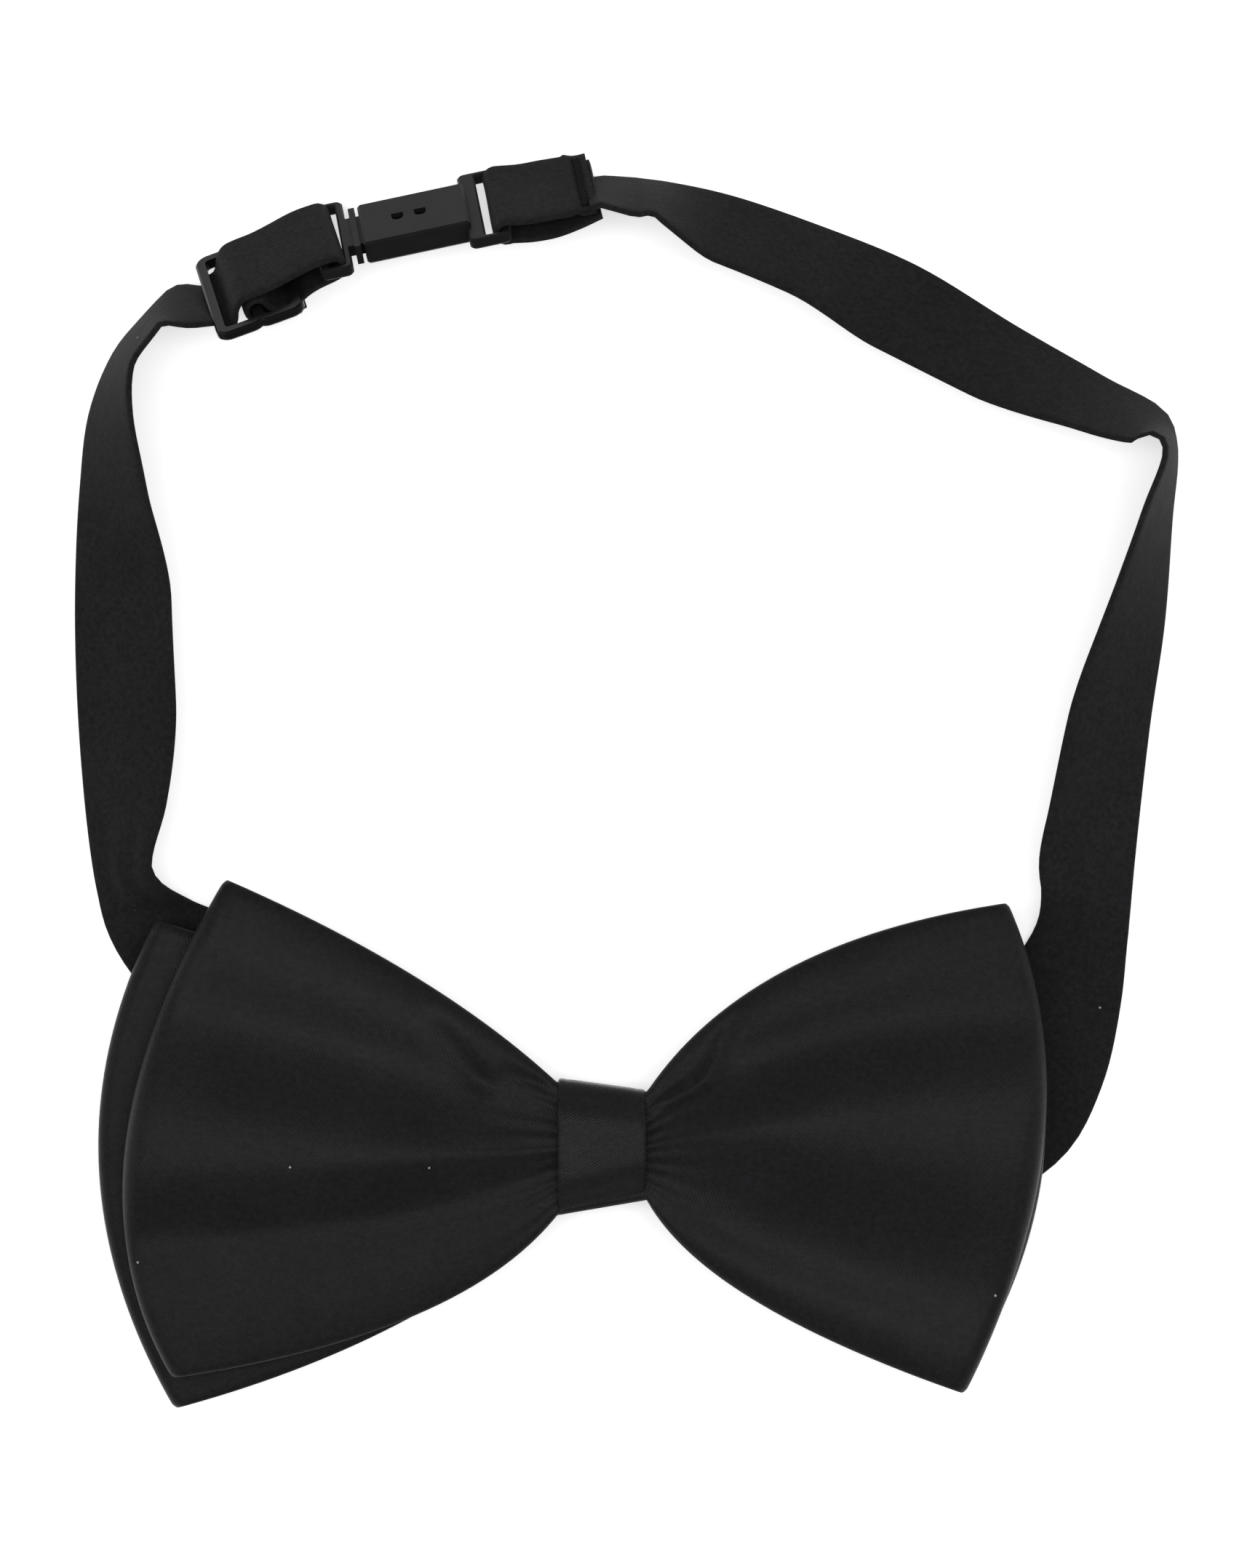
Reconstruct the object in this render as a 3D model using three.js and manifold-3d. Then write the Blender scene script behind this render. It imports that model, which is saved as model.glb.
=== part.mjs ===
// Pre-tied satin bow tie on an adjustable neck strap, lying face up. Millimetres, +Z up.
// +X runs along the bow to the right, +Y from the bow towards the clasp. The origin is on the
// surface that the tie lies on, under the middle of the whole outline.

import * as THREE from 'three';
import { mergeVertices } from 'three/addons/utils/BufferGeometryUtils.js';
import Module from 'manifold-3d';

const wasm = await Module();
wasm.setup();

// ---------------------------------------------------------------- driving dimensions

const ORIGIN_SHIFT = [-0.11, -0.56, 0];

// Fabric
const LEAF = { thick: 1.0, wall: 0.25, core: 0.32, hem: 0.9 };
const STRAP = { width: 15, thick: 0.8, gathered: 9.6 };
const THREAD_RADIUS = 0.18;

// Knot, with its centre in plan, and the heights of what it binds
const KNOT = { x: -3.2, y: -45.3, halfLength: 5.5, low: 0.45, high: 10.1, wall: 0.7 };
const KNOT_HALF_HEIGHT = { left: 8.6, right: 6.6 };
const KNOT_CORNER = { low: 1.9, high: 2.6 };
const PINCH_HALF_WIDTH = { left: 6.8, right: 4.9 };

// Bow leaves: height of the middle of each leaf in the knot and out on the wing, and pleat depth
const LEAVES = {
  backBowBack: { knot: 3.35, wing: 2.0, pleat: 0 },
  backBowFront: { knot: 4.75, wing: 4.6, pleat: 0.12 },
  frontBowBack: { knot: 6.15, wing: 6.2, pleat: 0 },
  frontBowFront: { knot: 7.55, wing: 9.6, pleat: 1.3 },
};

// Wings in plan, from the knot's centre: the two tips, and the control point of each edge's curve
const WINGS = {
  frontLeft: {
    side: -1, topTip: [-47.3, 33.4], lowTip: [-53.9, -29.2],
    topEdge: [-21.8, 22.2], lowEdge: [-22.6, -26.4], outerEdge: [-69.0, -3.4],
  },
  frontRight: {
    side: 1, topTip: [50.9, 30.4], lowTip: [45.5, -31.2],
    topEdge: [16.6, 25.4], lowEdge: [17.4, -22.0], outerEdge: [63.7, 3.2],
  },
  backLeft: {
    side: -1, topTip: [-56.2, 28.3], lowTip: [-53.8, -33.3],
    topEdge: [-26.0, 19.0], lowEdge: [-26.6, -26.8], outerEdge: [-72.0, -2.4],
  },
  backRight: {
    side: 1, topTip: [50.3, 27.5], lowTip: [45.2, -30.3],
    topEdge: [18.0, 22.0], lowEdge: [17.0, -19.5], outerEdge: [64.6, -2.0],
  },
};

// Neck strap: where its lower edge lies in plan, its lean from flat in degrees, and the height
// of that edge. The routes start in the knot.
const RIGHT_ROUTE = [
  [-2.9, -50.1, 0, 1.35], [3.0, -50.2, 0, 1.35], [11.0, -52.0, 0, 0.4], [22.0, -54.0, 0, 0],
  [36.0, -54.6, 0, 0], [47.5, -52.0, 0, 0], [55.5, -46.4, 0, 0], [60.0, -37.7, 0, 0],
  [62.2, -28.0, 0, 0], [63.0, -20.5, 2, 0], [63.6, -14.0, 29, 0], [64.5, -5.0, 38, 0],
  [66.0, 8.0, 45, 0], [67.8, 20.0, 57, 0], [69.0, 33.0, 73, 0], [69.9, 42.5, 80, 0],
  [68.2, 46.8, 70, 0], [60.5, 51.6, 52, 0], [49.5, 57.9, 41, 0], [36.5, 65.6, 33, 0],
  [24.5, 70.6, 45, 0], [12.5, 74.4, 58, 0], [3.5, 76.4, 70, 0.3],
];
const LEFT_ROUTE = [
  [-3.5, -50.1, 0, 1.35], [-9.4, -50.2, 0, 1.35], [-17.4, -50.6, 0, 0.4], [-28.0, -47.6, 0, 0],
  [-42.0, -41.0, 0, 0], [-54.0, -32.5, 0, 0], [-62.2, -24.4, 0, 0], [-65.6, -18.6, 4, 0],
  [-67.2, -11.5, 42, 0], [-68.4, -3.0, 44, 0], [-69.4, 10.0, 33, 0], [-69.9, 24.0, 33, 0],
  [-69.3, 37.0, 53, 0], [-67.8, 47.0, 69, 0], [-64.6, 54.6, 73, 0.2], [-60.0, 60.0, 74, 0.6],
];
const ROUTE_STEP = 3.2;
const END_TURN = 0.75;
const END_STRETCH = { right: 6, left: 24 };

// Clasp and slider: centre, heading in plan and lean of their faces
const CLASP = { centre: [-26.6, 70.3, 7.8], heading: 12, lean: 57 };
const SLIDER = { centre: [-47.4, 62.7, 9.1], heading: 20, lean: 57 };

const BOX = { length: 13.6, width: 10.2, thick: 3.1, floor: 1.6 };
const CAVITY = { width: 7.2, low: -0.75, high: 0.85 };
const WINDOW = { at: [-2.0, 0.9], length: 1.5, width: 1.7 };
const RING = { width: 17, rail: 0.9, thick: 1.5, farBar: 1.2, slot: 2.0 };
const BOX_RING_BAR = 1.6;
const HOOK = { gap: 0.4, rib: 0.8, ribThick: 2.6, neck: 0.6, nearBar: 1.0 };
const TONGUE = { length: 11.4, width: 6.4, thick: 1.0, bump: 0.3 };
const GLIDE = { length: 11.5, width: 20.4, bar: 1.3, rail: 1.4, thick: 1.3, bevel: 0.25, shift: -0.8 };

const TAB_LENGTH = 12.0;
const LAYER_SPACING = 1.0;
const WRAP_RADIUS = 1.3;
const GLIDE_WRAP_RADIUS = 1.35;
const SEAM_GAP = 0.3;

// ---------------------------------------------------------------- materials

const satin = new THREE.MeshStandardMaterial({ color: 0x1d1d1f, roughness: 0.45, metalness: 0 });
const interlining = new THREE.MeshStandardMaterial({ color: 0xd9d6cf, roughness: 0.95, metalness: 0 });
const plastic = new THREE.MeshStandardMaterial({ color: 0x262628, roughness: 0.4, metalness: 0 });
const glossPlastic = new THREE.MeshStandardMaterial({ color: 0x151517, roughness: 0.18, metalness: 0 });
const thread = new THREE.MeshStandardMaterial({ color: 0x222224, roughness: 0.7, metalness: 0 });

// ---------------------------------------------------------------- small helpers

const rad = THREE.MathUtils.degToRad;
const mix = THREE.MathUtils.lerp;
const ease = THREE.MathUtils.smoothstep;
const vec = (x, y, z) => new THREE.Vector3(x, y, z);
const flat = ([x, y]) => new THREE.Vector2(x, y);

function named(name, geometry, material) {
  const mesh = new THREE.Mesh(geometry, material);
  mesh.name = name;
  return mesh;
}

function placed(geometry, x, y, z) {
  return geometry.translate(x, y, z);
}

// A frame that leans: X along the strap, Y across it towards its lower edge, Z out of its face.
function leaningFrame({ centre, heading, lean }) {
  const turn = new THREE.Matrix4().makeRotationZ(rad(heading));
  const tilt = new THREE.Matrix4().makeRotationX(-rad(lean));
  return new THREE.Matrix4().makeTranslation(...centre).multiply(turn).multiply(tilt);
}

const claspFrame = leaningFrame(CLASP);
const sliderFrame = leaningFrame(SLIDER);
const acrossOf = (frame) => vec(0, -1, 0).transformDirection(frame);

// ---------------------------------------------------------------- skins and booleans

function signedVolume(points, index) {
  let volume = 0;
  for (let i = 0; i < index.length; i += 3) {
    const [a, b, c] = [points[index[i]], points[index[i + 1]], points[index[i + 2]]];
    volume += a.dot(b.clone().cross(c)) / 6;
  }
  return volume;
}

// Skins a run of equal point loops. Each loop is { station, points, lanes }, and lanes number the
// points across the fabric, so that the quads of nested skins are all split along one diagonal.
// A closed run joins back to its start. An open one is capped between the loop's two long sides.
function skin(loops, closed) {
  const count = loops[0].points.length;
  const points = loops.flatMap((loop) => loop.points);
  const index = [];
  const quad = (a, b, c, d) => index.push(a, b, c, a, c, d);
  const runs = closed ? loops.length : loops.length - 1;
  for (let i = 0; i < runs; i++) {
    const j = (i + 1) % loops.length;
    const along = loops[j].station - loops[i].station;
    for (let k = 0; k < count; k++) {
      const l = (k + 1) % count;
      const across = loops[i].lanes[l] - loops[i].lanes[k];
      const corners = [i * count + k, i * count + l, j * count + l, j * count + k];
      if (along * across < 0) corners.push(corners.shift());
      quad(...corners);
    }
  }
  if (!closed) {
    const last = (loops.length - 1) * count;
    for (let k = 0; k < count / 2 - 1; k++) {
      const other = count - 1 - k;
      quad(k + 1, k, other, other - 1);
      quad(last + k, last + k + 1, last + other - 1, last + other);
    }
  }
  if (signedVolume(points, index) < 0) index.reverse();
  const geometry = new THREE.BufferGeometry().setFromPoints(points);
  geometry.setIndex(index);
  return geometry;
}

function solidOf(geometry) {
  const bare = geometry.clone();
  bare.deleteAttribute('normal');
  bare.deleteAttribute('uv');
  const merged = mergeVertices(bare, 1e-4);
  return new wasm.Manifold(new wasm.Mesh({
    numProp: 3,
    vertProperties: Float32Array.from(merged.attributes.position.array),
    triVerts: Uint32Array.from(merged.index.array),
  }));
}

function geometryOf(solid) {
  const { vertProperties, triVerts } = solid.getMesh();
  const geometry = new THREE.BufferGeometry();
  geometry.setAttribute('position', new THREE.BufferAttribute(new Float32Array(vertProperties), 3));
  geometry.setIndex(new THREE.BufferAttribute(new Uint32Array(triVerts), 1));
  return geometry;
}

function joined(parts, cuts = []) {
  const body = parts.map(solidOf).reduce((all, part) => all.add(part));
  return geometryOf(cuts.map(solidOf).reduce((all, cut) => all.subtract(cut), body));
}

// ---------------------------------------------------------------- fabric strips

// A flat strip along stations of { centre, across, width }: four corners to a section.
function strip(stations, thick) {
  const loops = stations.map(({ centre, across, width }, i) => {
    const before = stations[Math.max(i - 1, 0)].centre;
    const after = stations[Math.min(i + 1, stations.length - 1)].centre;
    const face = after.clone().sub(before).cross(across).normalize();
    const corner = (side, depth) => centre.clone()
      .addScaledVector(across, side * width / 2)
      .addScaledVector(face, depth * thick / 2);
    return {
      station: i,
      points: [corner(-1, 1), corner(1, 1), corner(1, -1), corner(-1, -1)],
      lanes: [0, 1, 1, 0],
    };
  });
  return skin(loops, false);
}

// A thread of round section along a list of points.
function threadAlong(points) {
  const path = new THREE.CatmullRomCurve3(points, false, 'centripetal');
  const section = new THREE.Shape().absarc(0, 0, THREAD_RADIUS, 0, 2 * Math.PI);
  const steps = points.length - 1;
  return new THREE.ExtrudeGeometry(section, { extrudePath: path, steps, curveSegments: 3 });
}

// Zigzag of a bar tack: rows of crossings along X, each running across by the given reach.
function barTack(from, to, reach, turns) {
  const points = [];
  for (let i = 0; i <= turns; i++) {
    const side = i % 2 ? 1 : -1;
    points.push(vec(mix(from.x, to.x, i / turns), mix(from.y, to.y, i / turns), from.z));
    points[i].add(reach.clone().multiplyScalar(side));
  }
  return threadAlong(points);
}

// ---------------------------------------------------------------- bows

const LANES = [-1, -0.8, -0.62, -0.33, 0, 0.33, 0.62, 0.8, 1];
const WING_STATIONS = [0, 0.15, 0.4, 0.7, 0.9, 1];
const FOLD_ANGLES = [-45, 0, 45];

// Pleats across a leaf: a ridge in the middle, a valley each side of it, and two outer lobes.
const pleats = (lane) => Math.cos(3 * Math.PI * Math.abs(lane));

function wingPatch(wing) {
  const half = wing.side < 0 ? PINCH_HALF_WIDTH.left : PINCH_HALF_WIDTH.right;
  const start = wing.side * (KNOT.halfLength + 0.1);
  const topRoot = new THREE.Vector2(start, half);
  const lowRoot = new THREE.Vector2(start, -half);
  const top = new THREE.QuadraticBezierCurve(topRoot, flat(wing.topEdge), flat(wing.topTip));
  const low = new THREE.QuadraticBezierCurve(lowRoot, flat(wing.lowEdge), flat(wing.lowTip));
  const outer = new THREE.QuadraticBezierCurve(flat(wing.lowTip), flat(wing.outerEdge), flat(wing.topTip));
  return (u, lane) => {
    const w = (lane + 1) / 2;
    const ends = low.getPoint(u).lerp(top.getPoint(u), w);
    const root = lowRoot.clone().lerp(topRoot, w);
    const sides = root.clone().lerp(outer.getPoint(w), u);
    const corners = root.lerp(flat(wing.lowTip).lerp(flat(wing.topTip), w), u);
    return ends.add(sides).sub(corners);
  };
}

const leafHeight = (leaf, u, lane) => mix(leaf.knot, leaf.wing, ease(u, 0, 0.45))
  + leaf.pleat * (0.1 + 0.9 * ease(u, 0, 0.6)) * pleats(lane);

// Stations round the loop of a bow. Each gives, for a lane, the middle of the fabric and the
// way out of the loop. The loop starts and ends behind the knot.
function bowStations(back, front, leftWing, rightWing) {
  const foldRadius = (lane) => (leafHeight(front, 1, lane) - leafHeight(back, 1, lane)) / 2;
  const onLeaf = (wing, leaf, u, outward) => {
    const patch = wingPatch(wing);
    return (lane) => {
      const plan = patch(u, lane);
      const inset = u * u * (foldRadius(lane) + LEAF.thick / 2);
      const middle = vec(plan.x - wing.side * inset, plan.y, leafHeight(leaf, u, lane));
      return { middle, out: vec(0, 0, outward) };
    };
  };
  const onFold = (wing, angle) => {
    const edge = onLeaf(wing, front, 1, 1);
    return (lane) => {
      const out = vec(wing.side * Math.cos(rad(angle)), 0, Math.sin(rad(angle)));
      const middle = edge(lane).middle;
      middle.z = (leafHeight(front, 1, lane) + leafHeight(back, 1, lane)) / 2;
      return { middle: middle.addScaledVector(out, foldRadius(lane)), out };
    };
  };
  const loopEnd = (side) => (lane) => {
    const half = (PINCH_HALF_WIDTH.left + PINCH_HALF_WIDTH.right) / 2;
    return { middle: vec(side * SEAM_GAP, lane * half, leafHeight(back, 0, lane)), out: vec(0, 0, -1) };
  };
  const outwards = [...WING_STATIONS];
  const inwards = [...WING_STATIONS].reverse();
  return [
    loopEnd(1),
    ...outwards.map((u) => onLeaf(rightWing, back, u, -1)),
    ...FOLD_ANGLES.map((angle) => onFold(rightWing, angle)),
    ...inwards.map((u) => onLeaf(rightWing, front, u, 1)),
    ...outwards.map((u) => onLeaf(leftWing, front, u, 1)),
    ...[...FOLD_ANGLES].reverse().map((angle) => onFold(leftWing, angle)),
    ...inwards.map((u) => onLeaf(leftWing, back, u, -1)),
    loopEnd(-1),
  ];
}

// One section of the loop: a flat ring of points, the given margin inside the fabric's edges.
function leafLoop(at, station, margin, depth) {
  const width = at(1).middle.distanceTo(at(-1).middle);
  const lastLane = LANES.length - 1;
  const rows = LANES.map((lane, i) => {
    const here = at(lane);
    if (i > 0 && i < lastLane) return here;
    const inner = at(LANES[i === 0 ? 1 : lastLane - 1]);
    const share = margin / (width * (1 - LANES[lastLane - 1]) / 2);
    return { middle: here.middle.lerp(inner.middle, share), out: here.out };
  });
  const shifted = (row, sign) => row.middle.clone().addScaledVector(row.out, sign * depth);
  const upper = rows.map((row) => shifted(row, 1));
  const lower = rows.map((row) => shifted(row, -1)).reverse();
  const lanes = rows.map((row, i) => i);
  return { station, points: [...upper, ...lower], lanes: [...lanes, ...lanes.reverse()] };
}

function bow(name, back, front, leftWing, rightWing) {
  const stations = bowStations(back, front, leftWing, rightWing);
  const outside = stations.map((at, i) => leafLoop(at, i, 0, LEAF.thick / 2));
  const inside = stations.map((at, i) => leafLoop(at, i, LEAF.hem / 2, LEAF.thick / 2 - LEAF.wall));
  const core = stations.map((at, i) => leafLoop(at, i, LEAF.hem, LEAF.core / 2));
  const group = new THREE.Group();
  group.position.set(KNOT.x, KNOT.y, 0);
  group.add(named(`${name}_satin`, skin([...outside, ...inside.reverse()], true), satin));
  group.add(named(`${name}_interlining`, skin(core, false), interlining));
  return group;
}

// ---------------------------------------------------------------- knot

// Outline of the knot across the bow, as points of (y, z) round a rectangle with round corners.
function knotOutline(halfHeight, low, high, lowCorner, highCorner, cornerSteps) {
  const outline = new THREE.Path();
  outline.moveTo(halfHeight, high - highCorner);
  outline.absarc(halfHeight - highCorner, high - highCorner, highCorner, 0, Math.PI / 2);
  outline.absarc(highCorner - halfHeight, high - highCorner, highCorner, Math.PI / 2, Math.PI);
  outline.absarc(lowCorner - halfHeight, low + lowCorner, lowCorner, Math.PI, 1.5 * Math.PI);
  outline.absarc(halfHeight - lowCorner, low + lowCorner, lowCorner, 1.5 * Math.PI, 2 * Math.PI);
  const points = outline.getPoints(cornerSteps);
  return points.filter((p, i) => i === 0 || p.distanceTo(points[i - 1]) > 1e-6);
}

function knotBand() {
  const outlineAt = (x, inset) => {
    const share = (x + KNOT.halfLength) / (2 * KNOT.halfLength);
    const half = mix(KNOT_HALF_HEIGHT.left, KNOT_HALF_HEIGHT.right, share) - inset;
    const corners = [KNOT_CORNER.low - inset, KNOT_CORNER.high - inset];
    return knotOutline(half, KNOT.low + inset, KNOT.high - inset, ...corners, 4)
      .map((p) => vec(x, p.x, p.y));
  };
  const ends = [-KNOT.halfLength, KNOT.halfLength];
  const [outerLeft, outerRight] = ends.map((x) => outlineAt(x, 0));
  const [innerLeft, innerRight] = ends.map((x) => outlineAt(x, KNOT.wall));
  const loops = outerLeft.map((point, i) => ({
    station: i,
    points: [point, outerRight[i], innerRight[i], innerLeft[i]],
    lanes: [0, 1, 1, 0],
  }));
  return skin(loops, true);
}

function bindingThread() {
  const turns = 2;
  const pitch = 0.8;
  const half = (PINCH_HALF_WIDTH.left + PINCH_HALF_WIDTH.right) / 2 + 0.45;
  const low = LEAVES.backBowBack.knot - LEAF.thick / 2 - 0.35;
  const high = LEAVES.frontBowFront.knot + LEAF.thick / 2 + 0.4;
  const round = knotOutline(half, low, high, 0.4, 0.4, 2);
  const points = [];
  for (let i = 0; i < turns * round.length; i++) {
    const p = round[i % round.length];
    points.push(vec((i / round.length - turns / 2) * pitch, p.x, p.y));
  }
  return threadAlong(points);
}

function knot() {
  const group = new THREE.Group();
  group.position.set(KNOT.x, KNOT.y, 0);
  group.add(named('knot_band', knotBand(), satin));
  group.add(named('centre_binding_thread', bindingThread(), thread));
  const seamHeight = KNOT.low - THREAD_RADIUS - 0.05;
  const reach = vec(0, 0.9, 0);
  const stitches = barTack(vec(-4.4, 0, seamHeight), vec(4.4, 0, seamHeight), reach, 11);
  group.add(named('band_closing_stitches', stitches, thread));
  return group;
}

// ---------------------------------------------------------------- neck strap

// Stations of a strap whose lower edge follows a route. inward is 1 where the inside of the neck
// loop is to the left of the way along the route, and -1 where it is to the right. Over the last
// stretch, of the given length, the strap turns towards the across direction of what holds its end.
function routeStations(route, inward, endAcross, stretch) {
  const plan = new THREE.CatmullRomCurve3(route.map(([x, y]) => vec(x, y, 0)), false, 'centripetal');
  const lean = new THREE.CatmullRomCurve3(route.map(([, , angle, lift]) => vec(angle, lift, 0)));
  const steps = Math.round(plan.getLength() / ROUTE_STEP);
  const stations = [];
  for (let i = 0; i <= steps; i++) {
    const t = plan.getUtoTmapping(i / steps);
    const edge = plan.getPoint(t);
    const way = plan.getTangent(t);
    const { x: angle, y: lift } = lean.getPoint(t);
    const roll = rad(Math.max(angle, 0));
    const fromKnot = Math.abs(edge.x - KNOT.x) + Math.max(edge.y - KNOT.y, 0);
    const width = mix(STRAP.gathered, STRAP.width, ease(fromKnot, 6, 17));
    const side = vec(-way.y, way.x, 0).multiplyScalar(inward);
    const across = side.multiplyScalar(Math.cos(roll)).add(vec(0, 0, Math.sin(roll)));
    const turned = END_TURN * ease(i / steps * plan.getLength(), plan.getLength() - stretch, plan.getLength());
    across.lerp(endAcross, turned).normalize();
    edge.z = Math.max(lift, 0) + STRAP.thick / 2 * Math.cos(roll);
    stations.push({ centre: edge.addScaledVector(across, width / 2), across, width });
  }
  return stations;
}

function frameStation(frame, x, y, z) {
  return { centre: vec(x, y, z).applyMatrix4(frame), across: acrossOf(frame), width: STRAP.width };
}

const tabStart = BOX.length / 2 + BOX_RING_BAR + RING.slot + RING.farBar / 2;
const tabEnd = tabStart + TAB_LENGTH;
const underBar = -(GLIDE.thick + STRAP.thick) / 2 - 0.25;
const leftBar = -(GLIDE.length - GLIDE.bar) / 2;

function neckStrapRight() {
  const stations = routeStations(RIGHT_ROUTE, 1, acrossOf(claspFrame), END_STRETCH.right);
  stations.push(frameStation(claspFrame, tabEnd + 3, 0, -LAYER_SPACING / 2));
  stations.push(frameStation(claspFrame, tabEnd + SEAM_GAP, 0, -LAYER_SPACING / 2));
  return strip(stations, STRAP.thick);
}

function neckStrapLeft() {
  const stations = routeStations(LEFT_ROUTE, -1, acrossOf(sliderFrame), END_STRETCH.left);
  stations.push(frameStation(sliderFrame, leftBar - 4.5, 0, underBar));
  stations.push(frameStation(sliderFrame, leftBar - SEAM_GAP / 2, 0, underBar));
  return strip(stations, STRAP.thick);
}

const arc = (x, z, radius, from, to, steps) => Array.from({ length: steps + 1 }, (_, i) => {
  const angle = rad(mix(from, to, i / steps));
  return [x + radius * Math.cos(angle), z + radius * Math.sin(angle)];
});

// The strap's end folded round the box's ring and back over itself, in the clasp's frame.
function strapEndTab() {
  const layer = LAYER_SPACING / 2;
  const path = [
    [tabEnd, -layer], [tabStart + 4, -layer],
    ...arc(tabStart, 0, WRAP_RADIUS, -70, -290, 7),
    [tabStart + 4, layer], [tabEnd, layer],
  ];
  return strip(path.map(([x, z]) => frameStation(claspFrame, x, 0, z)), STRAP.thick);
}

// The strap from under the slider's first bar, up over its middle bar to the hook's ring, round
// that ring, back under the slider's last bar, round the middle bar and back under itself.
function adjusterLoop() {
  const toSlider = sliderFrame.clone().invert();
  const ring = vec(hookFarBar, 0, 0).applyMatrix4(claspFrame).applyMatrix4(toSlider);
  const ringAcross = acrossOf(claspFrame).transformDirection(toSlider);
  const over = GLIDE_WRAP_RADIUS + STRAP.thick + 0.15;
  const path = [
    [leftBar + SEAM_GAP / 2, underBar], [-3.7, -1.05], [-3.0, -0.2], [-2.5, 1.0], [-1.5, 1.95],
    [0, over], [2.6, over + 0.2], [5.6, over + 0.4],
    ...arc(ring.x, ring.z, WRAP_RADIUS, 100, -80, 6),
    [6.9, -1.0], [5.1, underBar - 0.05], [3.6, -1.1], [2.1, -0.6],
    ...arc(0, 0, GLIDE_WRAP_RADIUS, 0, 225, 8),
    [-0.3, -1.8], [1.2, -2.3], [4.0, -2.45], [6.5, -2.4],
  ];
  const stations = path.map(([x, z]) => {
    const share = ease(x, 1, ring.x - 1);
    const across = vec(0, -1, 0).lerp(ringAcross, share).normalize().transformDirection(sliderFrame);
    return { centre: vec(x, ring.y * share, z).applyMatrix4(sliderFrame), across, width: STRAP.width };
  });
  return strip(stations, STRAP.thick);
}

// ---------------------------------------------------------------- plastic hardware

function plate(shape, thick, bevel = 0) {
  const options = { depth: thick - 2 * bevel, curveSegments: 4, bevelEnabled: bevel > 0 };
  options.bevelThickness = bevel;
  options.bevelSize = bevel;
  options.bevelOffset = -bevel;
  options.bevelSegments = 1;
  return placed(new THREE.ExtrudeGeometry(shape, options), 0, 0, bevel - thick / 2);
}

function roundedRectangle(x0, x1, halfWidth, corner, target = new THREE.Shape()) {
  target.moveTo(x0 + corner, -halfWidth);
  target.lineTo(x1 - corner, -halfWidth);
  target.absarc(x1 - corner, corner - halfWidth, corner, -Math.PI / 2, 0);
  target.lineTo(x1, halfWidth - corner);
  target.absarc(x1 - corner, halfWidth - corner, corner, 0, Math.PI / 2);
  target.lineTo(x0 + corner, halfWidth);
  target.absarc(x0 + corner, halfWidth - corner, corner, Math.PI / 2, Math.PI);
  target.lineTo(x0, corner - halfWidth);
  target.absarc(x0 + corner, corner - halfWidth, corner, Math.PI, 1.5 * Math.PI);
  return target;
}

// A ring for the strap, from x0 to x1, with a slot between its bars.
function strapRing(x0, x1, slot0, slot1) {
  const shape = roundedRectangle(x0, x1, RING.width / 2, 0.9);
  shape.holes.push(roundedRectangle(slot0, slot1, RING.width / 2 - RING.rail, 0.3, new THREE.Path()));
  return plate(shape, RING.thick, 0.25);
}

const boxEnd = BOX.length / 2;
const hookRibEnd = -boxEnd - HOOK.gap;
const hookNeckEnd = hookRibEnd - HOOK.rib - HOOK.neck;
const hookSlotEnd = hookNeckEnd - HOOK.nearBar;
const hookFarBar = hookSlotEnd - RING.slot - RING.farBar / 2;

function windowCut(x) {
  const shape = new THREE.Shape();
  shape.moveTo(x - WINDOW.length / 2, WINDOW.width / 2);
  shape.lineTo(x - WINDOW.length / 2, 0);
  shape.absarc(x, 0, WINDOW.length / 2, Math.PI, 2 * Math.PI);
  shape.lineTo(x + WINDOW.length / 2, WINDOW.width / 2);
  return placed(new THREE.ExtrudeGeometry(shape, { depth: 2, bevelEnabled: false, curveSegments: 6 }), 0, 0, 0.3);
}

function claspBox() {
  const body = plate(roundedRectangle(-boxEnd, boxEnd, BOX.width / 2, 0.5), BOX.thick, 0.3);
  const slot = boxEnd + BOX_RING_BAR;
  const ring = strapRing(boxEnd - 0.6, slot + RING.slot + RING.farBar, slot, slot + RING.slot);
  const depth = BOX.length - BOX.floor;
  const high = CAVITY.high - CAVITY.low;
  const cavity = placed(
    new THREE.BoxGeometry(depth + 1, CAVITY.width, high),
    -boxEnd - 0.5 + (depth + 1) / 2, 0, (CAVITY.high + CAVITY.low) / 2,
  );
  return joined([body, ring], [cavity, ...WINDOW.at.map(windowCut)]);
}

function claspHook() {
  const ring = strapRing(hookFarBar - RING.farBar / 2, hookNeckEnd, hookSlotEnd - RING.slot, hookSlotEnd);
  const neckLength = HOOK.neck + HOOK.rib;
  const neck = placed(
    new THREE.BoxGeometry(neckLength + 0.8, 7, RING.thick), hookNeckEnd + neckLength / 2, 0, 0,
  );
  const rib = placed(
    new THREE.BoxGeometry(HOOK.rib, BOX.width - 0.4, HOOK.ribThick), hookRibEnd - HOOK.rib / 2, 0, 0,
  );
  const tongueShape = roundedRectangle(hookRibEnd - 0.3, hookRibEnd + TONGUE.length, TONGUE.width / 2, 1.4);
  const tongue = plate(tongueShape, TONGUE.thick, 0.2);
  const bumps = WINDOW.at.map((x) => placed(
    new THREE.CylinderGeometry(0.35, 0.6, TONGUE.bump, 12).rotateX(Math.PI / 2),
    x, 0, TONGUE.thick / 2 + TONGUE.bump / 2 - 0.02,
  ));
  return joined([ring, neck, rib, tongue, ...bumps]);
}

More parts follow.
